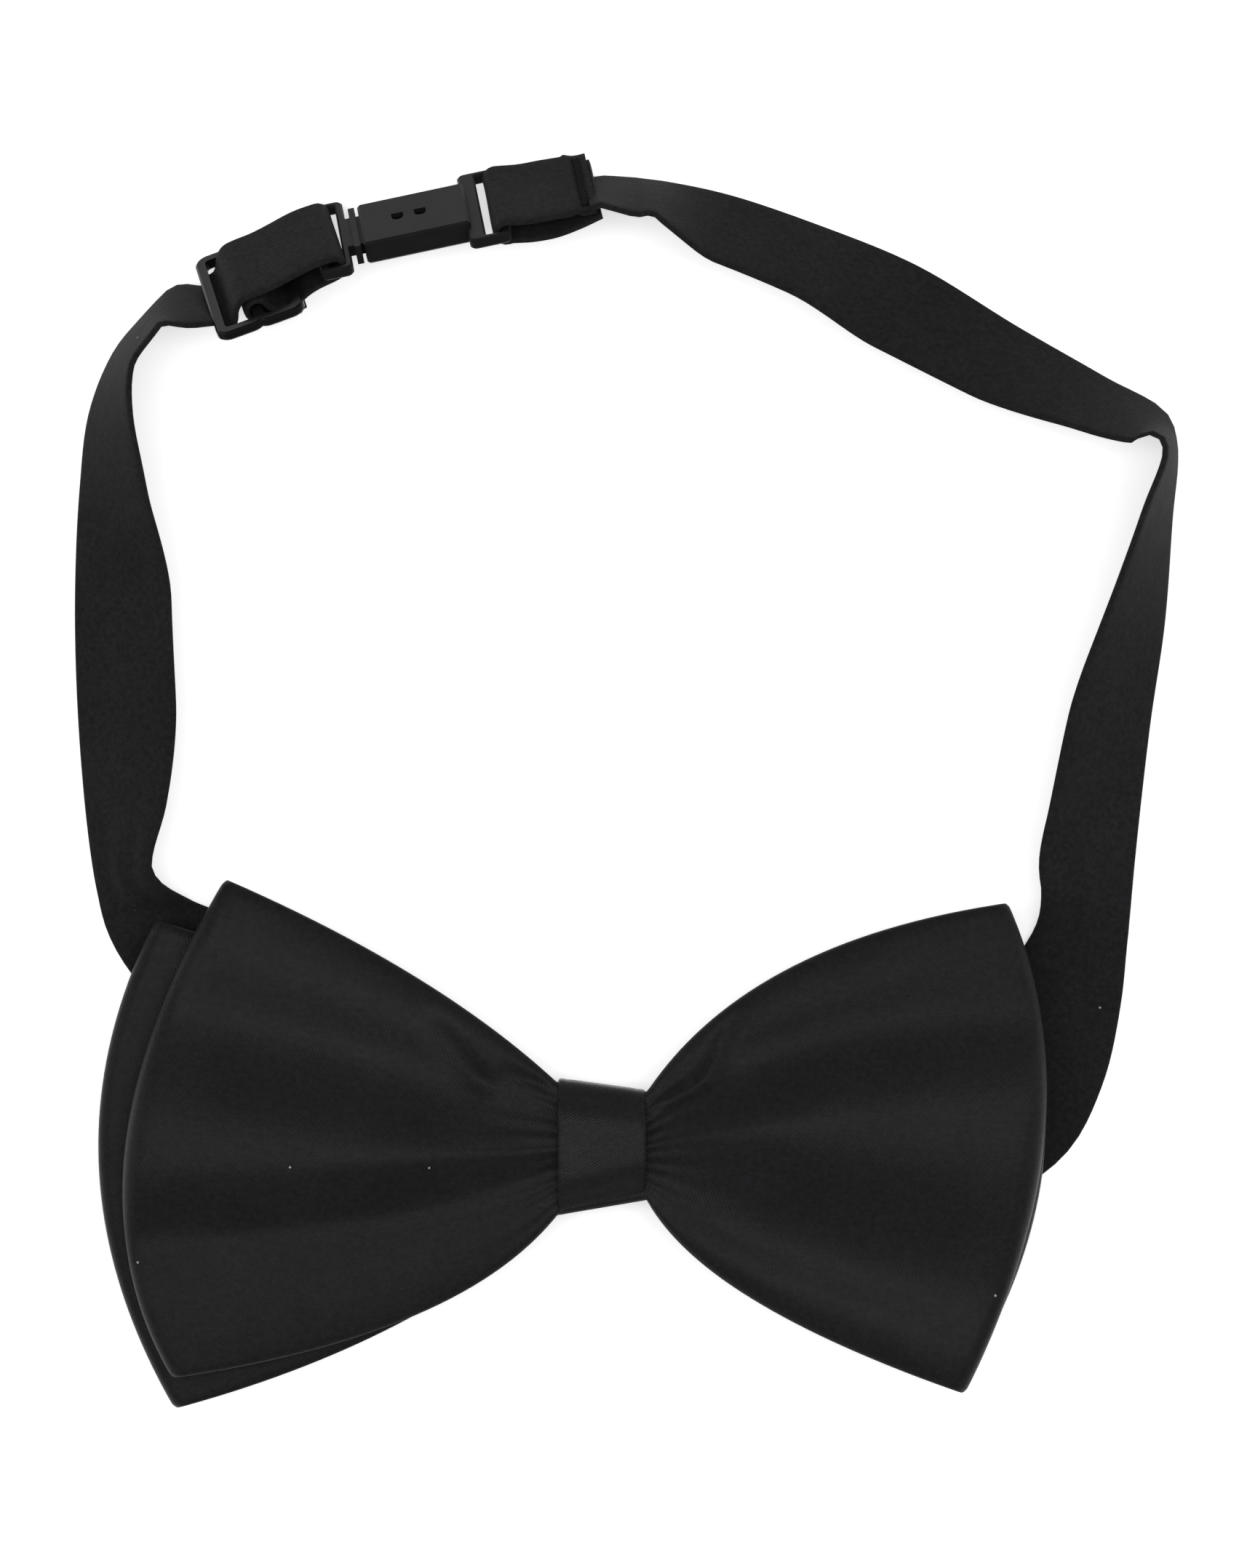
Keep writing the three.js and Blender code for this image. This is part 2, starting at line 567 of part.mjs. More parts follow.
// The slider's outline: two round-cornered windows side by side, waisted at the middle bar.
function sliderBody() {
  const half = GLIDE.length / 2;
  const overlap = GLIDE.bar / 2;
  const left = plate(roundedRectangle(-half, overlap, GLIDE.width / 2, 1.8), GLIDE.thick, GLIDE.bevel);
  const right = plate(roundedRectangle(-overlap, half, GLIDE.width / 2, 1.8), GLIDE.thick, GLIDE.bevel);
  const inner = GLIDE.width / 2 - GLIDE.rail;
  const windows = [[-half + GLIDE.bar, -GLIDE.bar / 2], [GLIDE.bar / 2, half - GLIDE.bar]];
  const cuts = windows.map(([x0, x1]) => plate(roundedRectangle(x0, x1, inner, 0.6), GLIDE.thick + 2));
  return joined([left, right], cuts);
}

function inFrame(frame, meshes) {
  const group = new THREE.Group();
  group.applyMatrix4(frame);
  meshes.forEach((mesh) => group.add(mesh));
  return group;
}

// ---------------------------------------------------------------- assembly

const tie = new THREE.Group();
tie.position.set(...ORIGIN_SHIFT);

tie.add(bow('back_bow', LEAVES.backBowBack, LEAVES.backBowFront, WINGS.backLeft, WINGS.backRight));
tie.add(bow('front_bow', LEAVES.frontBowBack, LEAVES.frontBowFront, WINGS.frontLeft, WINGS.frontRight));
tie.add(knot());

tie.add(named('neck_strap_left', neckStrapLeft(), satin));
tie.add(named('neck_strap_right', neckStrapRight(), satin));
tie.add(named('strap_end_tab', strapEndTab(), satin));
tie.add(named('adjuster_loop', adjusterLoop(), satin));

const tackHeight = LAYER_SPACING / 2 + STRAP.thick / 2 + THREAD_RADIUS + 0.05;
const tabTack = barTack(vec(tabEnd - 1.6, -6, tackHeight), vec(tabEnd - 1.6, 6, tackHeight), vec(0.7, 0, 0), 22);
tie.add(inFrame(claspFrame, [
  named('clasp_box', claspBox(), plastic),
  named('clasp_hook', claspHook(), plastic),
  named('tab_bar_tack', tabTack, thread),
]));

const loopTackHeight = -2.45 - STRAP.thick / 2 - THREAD_RADIUS - 0.1;
const loopTack = barTack(vec(4.4, -6, loopTackHeight), vec(4.4, 6, loopTackHeight), vec(0.7, 0, 0), 22);
tie.add(inFrame(sliderFrame, [
  named('slider', placed(sliderBody(), 0, GLIDE.shift, 0), glossPlastic),
  named('adjuster_bar_tack', loopTack, thread),
]));

export default tie;
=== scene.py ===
"""Looks of a pre-tied satin bow tie on an adjustable neck strap, built round its CAD frame."""

import math

import bpy
import numpy as np
from mathutils import Matrix, Vector


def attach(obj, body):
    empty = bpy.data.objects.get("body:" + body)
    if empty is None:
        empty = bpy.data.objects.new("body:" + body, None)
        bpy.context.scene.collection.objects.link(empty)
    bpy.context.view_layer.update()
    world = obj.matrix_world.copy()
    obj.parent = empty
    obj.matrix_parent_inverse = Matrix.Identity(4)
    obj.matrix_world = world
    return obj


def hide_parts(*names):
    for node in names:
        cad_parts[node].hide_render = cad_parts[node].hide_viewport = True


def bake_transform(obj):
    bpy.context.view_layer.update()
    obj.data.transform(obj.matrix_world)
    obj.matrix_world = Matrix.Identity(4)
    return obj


bl_info = {
    "name": "Satin bow tie",
    "version": (1, 0, 0),
    "blender": (4, 5, 0),
    "location": "View3D > Sidebar > Bow tie",
    "description": "Makes the cloth, thread, plastic and stage of a pre-tied bow tie",
    "category": "Object",
}

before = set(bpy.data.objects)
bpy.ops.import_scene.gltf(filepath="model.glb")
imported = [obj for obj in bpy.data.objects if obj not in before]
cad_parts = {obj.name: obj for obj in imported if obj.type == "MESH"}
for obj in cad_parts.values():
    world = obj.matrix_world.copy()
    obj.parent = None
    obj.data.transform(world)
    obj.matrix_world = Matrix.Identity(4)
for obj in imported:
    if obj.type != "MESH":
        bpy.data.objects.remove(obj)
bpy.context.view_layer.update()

MM = 0.001
ORIGIN_SHIFT = np.array([-0.11, -0.56, 0.0])
UV_NAME = "cloth"
# A curve's points closer together than this are one point
SAME_PLACE = 1e-4

# Sizes below are in millimetres, as in the CAD source, from before its shift to the origin.
KNOT = {"x": -3.2, "y": -45.3, "half_length": 5.5, "low": 0.45, "high": 10.1}
# Half the band's height, half its flat face and its shift upwards, at its left and right ends
KNOT_HALF_HEIGHT = (8.6, 6.6)
KNOT_FACET = (4.3, 2.5)
BAND_SHIFT = (-0.3, 0.2)
# Reach of the gathered bows above and below the knot's centre, on the left (-1) and right (1)
PINCH_TOP = {-1: 7.8, 1: 6.6}
PINCH_LOW = {-1: 8.8, 1: 6.9}
# From the middle to a cloth's end, where two ends meet
SEAM_GAP = 0.3

# Height of the middle of each leaf in the knot and out on the wing, and its pleat depth: one leaf
# has full pleats with gathers and tucks, the one under it follows them faintly
LEAVES = {
    "back_bow_back": (3.35, 2.0, 0.0),
    "back_bow_front": (4.75, 4.6, 0.12),
    "front_bow_back": (6.15, 6.2, 0.0),
    "front_bow_front": (7.55, 9.8, 2.0),
}

# Tips of each wing from the knot's centre, and the control points of its three curved edges
WINGS = {
    "front_left": {
        "side": -1, "top_tip": (-47.3, 33.4), "low_tip": (-53.9, -29.2),
        "top_edge": (-20.2, 21.4), "low_edge": (-17.5, -23.6), "outer_edge": (-69.0, -3.4),
    },
    "front_right": {
        "side": 1, "top_tip": (50.9, 30.4), "low_tip": (45.5, -31.2),
        "top_edge": (18.0, 25.2), "low_edge": (12.6, -19.6), "outer_edge": (62.8, 3.4),
    },
    "back_left": {
        "side": -1, "top_tip": (-56.2, 28.3), "low_tip": (-53.8, -33.3),
        "top_edge": (-26.0, 18.6), "low_edge": (-22.8, -24.6), "outer_edge": (-71.7, -2.4),
    },
    "back_right": {
        "side": 1, "top_tip": (50.3, 27.5), "low_tip": (45.2, -30.3),
        "top_edge": (18.0, 22.0), "low_edge": (17.0, -19.5), "outer_edge": (63.6, -1.2),
    },
}

# Pleats of each wing above and below its ridge: lane of the valley, lane of the lobe's crown
PLEATS = {
    "front_left": {"upper": (0.58, 0.78), "lower": (0.38, 0.64)},
    "front_right": {"upper": (0.56, 0.76), "lower": (0.68, 0.86)},
    "back_left": {"upper": (0.40, 0.66), "lower": (0.40, 0.66)},
    "back_right": {"upper": (0.40, 0.66), "lower": (0.40, 0.66)},
}

# Tucks by the knot: from, to (from the knot's centre), width and depth
TUCKS = [
    ((-21.5, 15.6), (-15.0, 7.6), 1.3, 0.75),
    ((-12.5, 9.0), (-7.0, 7.4), 0.8, 0.45),
    ((16.4, 15.8), (13.2, 8.2), 0.9, 0.85),
    ((13.2, 8.0), (8.0, 5.2), 0.8, 0.6),
]

# Neck strap: x and y of its lower edge, lean in degrees, lift of that edge
RIGHT_ROUTE = [
    (-2.9, -50.1, 0, 1.35), (3.0, -50.2, 0, 1.35), (11.0, -52.0, 0, 0.4), (22.0, -54.0, 0, 0),
    (36.0, -54.6, 0, 0), (47.5, -52.0, 0, 0), (55.5, -46.4, 0, 0), (60.0, -37.7, 0, 0),
    (62.2, -28.0, 0, 0), (63.0, -20.5, 2, 0), (63.6, -14.0, 29, 0), (64.5, -5.0, 38, 0),
    (66.0, 8.0, 45, 0), (67.7, 20.0, 57, 0), (68.6, 33.0, 73, 0), (69.2, 42.3, 82, 0),
    (68.1, 46.6, 68, 0), (60.3, 51.3, 58, 0), (49.4, 57.6, 44, 0), (36.4, 65.5, 37, 0),
    (24.4, 70.4, 49, 0), (12.5, 74.4, 53, 0), (5.5, 75.8, 67, 0.3), (0.4, 76.4, 80, 0.8),
]
LEFT_ROUTE = [
    (-3.5, -50.1, 0, 1.35), (-9.4, -50.2, 0, 1.35), (-17.4, -50.6, 0, 0.4), (-28.0, -47.6, 0, 0),
    (-42.0, -41.0, 0, 0), (-54.0, -32.5, 0, 0), (-62.2, -24.4, 0, 0), (-65.6, -18.6, 4, 0),
    (-67.2, -11.5, 42, 0), (-68.4, -3.0, 41, 0), (-69.4, 10.0, 32, 0), (-69.7, 24.0, 34, 0),
    (-69.1, 37.0, 53, 0), (-67.8, 47.0, 66, 0), (-64.6, 54.6, 77, 0.2), (-60.4, 59.6, 80, 0.6),
]

# Clasp and slider frames: centre, heading in plan and lean of their faces
CLASP = ((-26.6, 70.3, 7.8), 12, 57)
SLIDER = ((-47.4, 62.7, 9.1), 20, 57)
TAB_START, TAB_END = 11.0, 23.0
HOOK_FAR_BAR = -12.2
LEFT_BAR = -5.1
UNDER_BAR = -1.3
LAYER_SPACING = 1.0
WRAP_RADIUS = 1.3
GLIDE_WRAP_RADIUS = 1.35

# The two halves of the neck strap. Over its last stretch a strap turns by a share towards what
# holds its end, where its outer edge rises by a share. It is bunched where it comes out from under
# the bow: y of the middle, reach and most. The ends are in the frame of what holds it.
STRAPS = {
    "neck_strap_long": {
        "node": "neck_strap_right", "route": RIGHT_ROUTE, "inward": 1, "held_in": CLASP,
        "seed": 7,
        "stretch": 4, "turn": 0.5, "rise": 0.45, "bunch": (-17.5, 5.0, 0.22),
        "ends": [
            (TAB_END + 0.4, -0.9, -LAYER_SPACING / 2), (TAB_END - 1.2, -0.7, -LAYER_SPACING / 2),
        ],
        "blend": ("box_half", "root", (-4, 74, 8), (30, 30, 8)),
    },
    "neck_strap_short": {
        "node": "neck_strap_left", "route": LEFT_ROUTE, "inward": -1, "held_in": SLIDER,
        "seed": 11,
        "stretch": 12, "turn": 0.1, "rise": 0.35, "bunch": (-12.0, 7.0, 0.35),
        "ends": [(LEFT_BAR - 4.5, 0.8, UNDER_BAR + 1.3), (LEFT_BAR - 0.1, 0.3, UNDER_BAR)],
        "blend": ("root", "slider_body", (-70, 2, 8), (-53, 60, 8)),
    },
}

# Seeds of the slow unevenness of the other cloth pieces
SEEDS = {"front_bow": 3, "band": 13, "tab": 17, "loop": 19}


# ---- colour and small maths


def linear(hex_colour):
    """An sRGB hex colour as linear RGBA."""
    channels = [int(hex_colour[i : i + 2], 16) / 255 for i in (1, 3, 5)]
    return (*[c / 12.92 if c <= 0.04045 else ((c + 0.055) / 1.055) ** 2.4 for c in channels], 1.0)


def mix(a, b, share):
    return a + (b - a) * share


def ease(x, low, high):
    """Smooth step of x from low to high."""
    t = np.clip((np.asarray(x, float) - low) / (high - low), 0, 1)
    return t * t * (3 - 2 * t)


def unit(v):
    return v / np.maximum(np.linalg.norm(v, axis=-1, keepdims=True), 1e-12)


def slow_waves(seed, a, b, length, count=5):
    """Soft unevenness over two cloth coordinates in millimetres, from -1 to 1."""
    draw = np.random.default_rng(seed)
    total = np.zeros(np.broadcast(a, b).shape)
    for _ in range(count):
        angle, phase = draw.uniform(0, 2 * math.pi, 2)
        turn = 2 * math.pi / (length * draw.uniform(0.7, 1.6))
        total += np.sin(turn * (a * math.cos(angle) + b * math.sin(angle)) + phase)
    return total / count


def bezier(a, b, c, t):
    a, b, c = (np.asarray(p, float) for p in (a, b, c))
    t = np.asarray(t, float)[..., None]
    return (1 - t) ** 2 * a + 2 * t * (1 - t) * b + t * t * c


def centripetal(points, t):
    """Points of a centripetal Catmull-Rom curve through the given points, for t from 0 to 1."""
    p = np.asarray(points, float)
    p = np.vstack([2 * p[0] - p[1], p, 2 * p[-1] - p[-2]])
    spans = len(p) - 3
    at = np.clip(np.asarray(t, float) * spans, 0, spans)
    i = np.minimum(at.astype(int), spans - 1)
    s = (at - i)[:, None]
    x0, x1, x2, x3 = p[i], p[i + 1], p[i + 2], p[i + 3]
    pairs = ((x0, x1), (x1, x2), (x2, x3))
    d0, d1, d2 = (np.linalg.norm(b - a, axis=1)[:, None] ** 0.5 for a, b in pairs)
    d1 = np.where(d1 < SAME_PLACE, 1.0, d1)
    d0 = np.where(d0 < SAME_PLACE, d1, d0)
    d2 = np.where(d2 < SAME_PLACE, d1, d2)
    m1 = ((x1 - x0) / d0 - (x2 - x0) / (d0 + d1) + (x2 - x1) / d1) * d1
    m2 = ((x2 - x1) / d1 - (x3 - x1) / (d1 + d2) + (x3 - x2) / d2) * d1
    c2, c3 = -3 * x1 + 3 * x2 - 2 * m1 - m2, 2 * x1 - 2 * x2 + m1 + m2
    return x1 + s * (m1 + s * (c2 + s * c3))


def lengths(points):
    """Length along a run of points, at each of them."""
    steps = np.linalg.norm(np.diff(points, axis=0), axis=1)
    return np.concatenate([[0], np.cumsum(steps)])


def even(points, step):
    """A smooth curve through points, at even steps, and the t of each."""
    fine = np.linspace(0, 1, 60 * len(points))
    run = lengths(centripetal(points, fine))
    count = max(int(round(run[-1] / step)), 2)
    t = np.interp(np.linspace(0, run[-1], count + 1), run, fine)
    return centripetal(points, t), t


def arc(x, z, radius, start, end, steps):
    angles = np.radians(np.linspace(start, end, steps + 1))
    return [(x + radius * math.cos(a), z + radius * math.sin(a)) for a in angles]


def leaning_frame(place):
    """4x4 of a leaning frame: X along a strap, Y across to its lower edge, Z out of its face."""
    centre, heading, lean = place
    about_z = Matrix.Rotation(math.radians(heading), 4, "Z")
    about_x = Matrix.Rotation(-math.radians(lean), 4, "X")
    return np.array(Matrix.Translation(centre) @ (about_z @ about_x))


CLASP_FRAME, SLIDER_FRAME = leaning_frame(CLASP), leaning_frame(SLIDER)


def placed(matrix, points):
    return np.asarray(points, float) @ matrix[:3, :3].T + matrix[:3, 3]


def row_point(x, y, z=0.0):
    """A point of the drawing in millimetres as metres in the row frame."""
    return tuple((np.array([x, y, z]) + ORIGIN_SHIFT) * MM)


# ---- mesh


def alone(piece):
    """Selects only this piece and makes it active."""
    bpy.ops.object.select_all(action="DESELECT")
    piece.select_set(True)
    bpy.context.view_layer.objects.active = piece


def mesh_piece(name, points, faces, cloth=None):
    """A smooth piece at the origin, from points and cloth coordinates in millimetres."""
    mesh = bpy.data.meshes.new(name)
    mesh.from_pydata(((np.asarray(points) + ORIGIN_SHIFT) * MM).tolist(), [], faces)
    if cloth is not None:
        layer = mesh.uv_layers.new(name=UV_NAME)
        corner = np.zeros(len(mesh.loops), int)
        mesh.loops.foreach_get("vertex_index", corner)
        layer.data.foreach_set("uv", (np.asarray(cloth)[corner] * MM).astype(np.float32).ravel())
    piece = bpy.data.objects.new(name, mesh)
    bpy.context.scene.collection.objects.link(piece)
    alone(piece)
    bpy.ops.object.mode_set(mode="EDIT")
    bpy.ops.mesh.select_all(action="SELECT")
    bpy.ops.mesh.normals_make_consistent(inside=False)
    bpy.ops.object.mode_set(mode="OBJECT")
    bpy.ops.object.shade_smooth()
    return piece


def skin(loops, closed):
    """Points and faces of a skin over equal rings. An open run is capped at both ends."""
    count, ring = loops.shape[:2]
    faces = []
    for i in range(count if closed else count - 1):
        a, b = i * ring, (i + 1) % count * ring
        for k in range(ring):
            n = (k + 1) % ring
            faces.append((a + k, a + n, b + n, b + k))
    if not closed:
        last = (count - 1) * ring
        for k in range(ring // 2 - 1):
            other = ring - 1 - k
            faces.append((k + 1, k, other, other - 1))
            faces.append((last + k, last + k + 1, last + other - 1, last + other))
    return loops.reshape(-1, 3), faces


def sections(middle, out, half, across_mm, along_mm):
    """Rings round a strip and their cloth coordinates. Its middle and its outward ways are
    stations x lanes x 3, and half is half its thickness."""
    upper, lower = middle + out * half[..., None], middle - out * half[..., None]
    rings = np.concatenate([upper, lower[:, ::-1]], axis=1)
    cloth = np.stack([across_mm, np.broadcast_to(along_mm[:, None], across_mm.shape)], axis=-1)
    return rings, np.concatenate([cloth, cloth[:, ::-1]], axis=1)


def lanes_across(inner):
    """Lanes from -1 to 1, closer together at the two rounded edges."""
    edge = [0.0, 0.006, 0.018, 0.04]
    side = [-1 + e for e in edge]
    return np.array([*side, *np.linspace(-0.93, 0.93, inner), *[-e for e in reversed(side)]])


def rounded(half, lanes, width, reach):
    """Half the thickness at each lane, round over the last bit before each edge."""
    inside = (1 - np.abs(lanes)) * np.asarray(width)[..., None] / 2
    curve = np.sqrt(1 - np.clip(1 - inside / reach, 0, 1) ** 2)
    return half * np.maximum(curve, 0.3)


# ---- materials


POLYESTER_IOR = 1.54
# Lint: distance between places where a speck may lie, its radius, and the share of places with one
LINT_CELL, LINT_RADIUS, LINT_SHARE = 4.0, 0.16, 0.28


def add_node(tree, kind, settings=None, links=None):
    """Adds a node, sets its options and inputs, and links its inputs from other nodes' sockets."""
    node = tree.nodes.new(kind)
    for key, value in (settings or {}).items():
        if isinstance(key, str) and key.islower():
            setattr(node, key, value)
        else:
            node.inputs[key].default_value = value
    for key, source in (links or {}).items():
        tree.links.new(source, node.inputs[key])
    return node


def new_material(name, ior, specular):
    """A material with an empty surface: its tree, and a shader that is linked to the output."""
    material = bpy.data.materials.new(name)
    material.use_nodes = True
    tree = material.node_tree
    tree.nodes.clear()
    shader = add_node(
        tree, "ShaderNodeBsdfPrincipled", {"IOR": ior, "Specular IOR Level": specular}
    )
    add_node(tree, "ShaderNodeOutputMaterial", links={"Surface": shader.outputs["BSDF"]})
    return material, tree, shader


def cloth_place(tree):
    """A cloth's own coordinates in metres: across its strip and along it."""
    return add_node(tree, "ShaderNodeUVMap", {"uv_map": UV_NAME}).outputs["UV"]


def object_place(tree):
    return add_node(tree, "ShaderNodeTexCoord").outputs["Object"]


def mapped(tree, place, settings):
    return add_node(tree, "ShaderNodeMapping", settings, {"Vector": place}).outputs["Vector"]


def noise(tree, place, size_mm, **settings):
    """Noise whose features have this size."""
    settings["Scale"] = 1 / (size_mm * MM)
    return add_node(tree, "ShaderNodeTexNoise", settings, {"Vector": place}).outputs["Fac"]


def bands(tree, place, axis, period_mm, settings):
    """Soft bands across an axis, which repeat at this distance."""
    scale = 2 * math.pi / 20 / (period_mm * MM)
    settings = {"bands_direction": axis, "Scale": scale, **settings}
    return add_node(tree, "ShaderNodeTexWave", settings, {"Vector": place}).outputs["Fac"]


def ranged(tree, value, low, high, source=(0.0, 1.0)):
    """A value carried from its source range to the range from low to high."""
    settings = {"From Min": source[0], "From Max": source[1], "To Min": low, "To Max": high}
    return add_node(tree, "ShaderNodeMapRange", settings, {"Value": value}).outputs["Result"]


def mixed(tree, share, dark, light):
    """A colour between two, by the share from a socket."""
    settings = {"data_type": "RGBA", 6: dark, 7: light}
    return add_node(tree, "ShaderNodeMix", settings, {0: share}).outputs[2]


def bumped(tree, height, depth_mm, strength, over=None):
    """A normal bent by a height, over another bump's normal where one is given."""
    links = {"Height": height} if over is None else {"Height": height, "Normal": over}
    settings = {"Strength": strength, "Distance": depth_mm * MM}
    return add_node(tree, "ShaderNodeBump", settings, links).outputs["Normal"]


def show(tree, shader, colour, rough, bump):
    """Links what a surface shows to its shader."""
    for source, socket in ((colour, "Base Color"), (rough, "Roughness"), (bump, "Normal")):
        tree.links.new(source, shader.inputs[socket])


def with_lint(tree, place, colour):
    """A colour with pale specks of lint up to 0.3 mm across, a few on each bow."""
    cells = add_node(
        tree, "ShaderNodeTexVoronoi", {"Scale": 1 / (LINT_CELL * MM), "Randomness": 1.0},
        {"Vector": place},
    )
    near = add_node(
        tree, "ShaderNodeMath", {"operation": "LESS_THAN", 1: LINT_RADIUS / LINT_CELL},
        {0: cells.outputs["Distance"]},
    ).outputs[0]
    picked = add_node(
        tree, "ShaderNodeMath", {"operation": "GREATER_THAN", 1: 1 - LINT_SHARE},
        {0: cells.outputs["Color"]},
    ).outputs[0]
    speck = add_node(
        tree, "ShaderNodeMath", {"operation": "MULTIPLY"}, {0: near, 1: picked}
    ).outputs[0]
    return add_node(
        tree, "ShaderNodeMix", {"data_type": "RGBA", 7: linear("#9c9b96")}, {0: speck, 6: colour}
    ).outputs[2]


def satin_material(name, dark, light, level, roughness, rib_spacing):
    """Black polyester satin, woven with long warp floats and piece dyed.

    The floats give a soft, wide sheen with a faint diagonal rib, and the eye reads the deep
    folds as nearly black. A few specks of pale lint lie on it."""
    material, tree, shader = new_material(name, POLYESTER_IOR, level)
    shader.inputs["Sheen Weight"].default_value = 0.02
    shader.inputs["Sheen Roughness"].default_value = 0.5
    uv, place = cloth_place(tree), object_place(tree)

    # The real rib repeats about every 0.12 mm, which is too fine to show, so it is drawn coarser.
    turned = mapped(tree, uv, {"Rotation": (0, 0, math.radians(58))})
    twill = {"Distortion": 1.6, "Detail": 1.0, "Detail Scale": 2.0}
    rib = bands(tree, turned, "X", rib_spacing / MM, twill)
    # Warp floats: streaks 0.3 mm wide and about 3 mm long along the strip.
    stretched = mapped(tree, uv, {"Scale": (1.0, 0.1, 1.0)})
    floats = noise(tree, stretched, 0.3, Detail=2.0, Roughness=0.6)
    dye = noise(tree, place, 9.0, Detail=3.0)
    grain = noise(tree, place, 0.7, Detail=3.0, Roughness=0.7)
    dyed = mixed(tree, ranged(tree, grain, 0.0, 1.0, (0.3, 0.75)), dark, light)
    faded = add_node(
        tree, "ShaderNodeMix", {"data_type": "RGBA", "blend_type": "MULTIPLY", 0: 0.35},
        {6: dyed, 7: dye},
    ).outputs[2]
    gloss = ranged(tree, floats, roughness - 0.05, roughness + 0.09, (0.25, 0.8))
    bump = bumped(tree, floats, 0.03, 0.5, bumped(tree, rib, 0.04, 0.5))
    show(tree, shader, with_lint(tree, place, faded), gloss, bump)
    return material


def bow_satin(cloth, name="black_polyester_satin", gloss=1.0, smoother=0.0):
    """Satin of the bows, stretched over their stiffeners: smooth, with a soft sheen."""
    return satin_material(
        name, tuple(cloth.satin_colour), tuple(cloth.satin_light), gloss * cloth.satin_gloss,
        cloth.satin_roughness - smoother, cloth.rib_spacing,
    )


def knot_satin(cloth):
    """Satin of the knot's band, pulled tight: its flat face shines a little more than the bows."""
    return bow_satin(cloth, "stretched_knot_satin", 1.5, 0.04)


def strap_satin(cloth):
    """Satin of the strap, sewn as a tube and pressed hard: flat ribs, nearly without sheen."""
    return satin_material(
        "pressed_strap_satin", linear("#1e1e1f"), linear("#2c2c2e"), 0.008, 0.5, cloth.rib_spacing
    )


def interlining_material(cloth):
    """Off-white non-woven polyester, needled. It is matt, with short crossed fibres."""
    material, tree, shader = new_material("needled_polyester_interlining", POLYESTER_IOR, 0.2)
    fibres = noise(tree, cloth_place(tree), 0.8, Detail=5.0, Distortion=3.0)
    colour = mixed(tree, fibres, linear("#c2bfb7"), tuple(cloth.interlining_colour))
    show(tree, shader, colour, ranged(tree, fibres, 0.85, 0.98), bumped(tree, fibres, 0.05, 0.6))
    return material


def thread_material(cloth):
    """Black spun polyester sewing thread, two plies. The twist shows as slanting bands."""
    material, tree, shader = new_material("black_spun_thread", POLYESTER_IOR, 0.05)
    slanted = mapped(tree, cloth_place(tree), {"Rotation": (0, 0, math.radians(35))})
    plies = bands(tree, slanted, "Y", 0.45, {"Distortion": 0.6})
    colour = mixed(tree, plies, linear("#121213"), tuple(cloth.thread_colour))
    show(tree, shader, colour, ranged(tree, plies, 0.6, 0.8), bumped(tree, plies, 0.04, 0.8))
    return material


def plastic_material(name, dark, light, rough, grain_mm, grain_depth_mm, ior):
    """Injection-moulded black plastic. Faint flow marks change its tone, and a fine texture from
    the mould softens what it reflects."""
    material, tree, shader = new_material(name, ior, 0.075)
    place = object_place(tree)
    flow = noise(tree, place, 4.0, Detail=3.0, Distortion=1.2)
    grain = noise(tree, place, grain_mm, Detail=3.0, Roughness=0.6)
    gloss = ranged(tree, grain, rough - 0.06, rough + 0.1)
    bump = bumped(tree, grain, grain_depth_mm, 0.5)
    show(tree, shader, mixed(tree, flow, dark, light), gloss, bump)
    return material


def clasp_material(hardware):
    """Acetal, moulded with a satin face: dark grey next to the cloth, with soft bright edges."""
    dark, light = linear("#141415"), tuple(hardware.clasp_colour)
    return plastic_material("satin_moulded_acetal", dark, light, 0.4, 0.22, 0.02, 1.48)


def slider_material(hardware):
    """Nylon, moulded and polished: nearly black, with small sharp highlights along the bars."""
    dark, light = linear("#0c0c0d"), tuple(hardware.slider_colour)
    return plastic_material("polished_moulded_nylon", dark, light, 0.2, 1.2, 0.01, 1.53)


def floor_material(stage):
    """Matt white acrylic of a light table, lit faintly from below, so it is even round the tie."""
    material, tree, shader = new_material("matt_white_acrylic", 1.5, 0.1)
    shader.inputs["Emission Color"].default_value = (1, 1, 1, 1)
    shader.inputs["Emission Strength"].default_value = stage.floor_glow
    shader.inputs["Roughness"].default_value = 0.9
    tooth = noise(tree, object_place(tree), 3.0, Detail=4.0)
    colour = mixed(tree, tooth, linear("#f6f6f6"), tuple(stage.floor_colour))
    tree.links.new(colour, shader.inputs["Base Color"])
    return material


def material_of(name, build, settings):
    """The material of this name, built the first time that it is asked for."""
    return bpy.data.materials.get(name) or build(settings)


def pressed_satin(cloth):
    return material_of("pressed_strap_satin", strap_satin, cloth)


def dress(piece, material, slot, *nodes):
    """Gives a piece its material and hides the CAD nodes that it stands for. The slot is not used."""
    piece.data.materials.clear()
    piece.data.materials.append(material)
    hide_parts(*nodes)
    return piece


# ---- bows


# Height of the gathers by the knot, height of a wing's slow waves, and the distance they take
WING_GATHER, WING_WAVE, WAVE_LENGTH = 0.07, 0.22, 34
WING_LANES = lanes_across(41)
WING_STATIONS = np.concatenate([np.linspace(0, 0.3, 13)[:-1], np.linspace(0.3, 1, 22)])
FOLD_ANGLES = np.arange(-75, 76, 15)


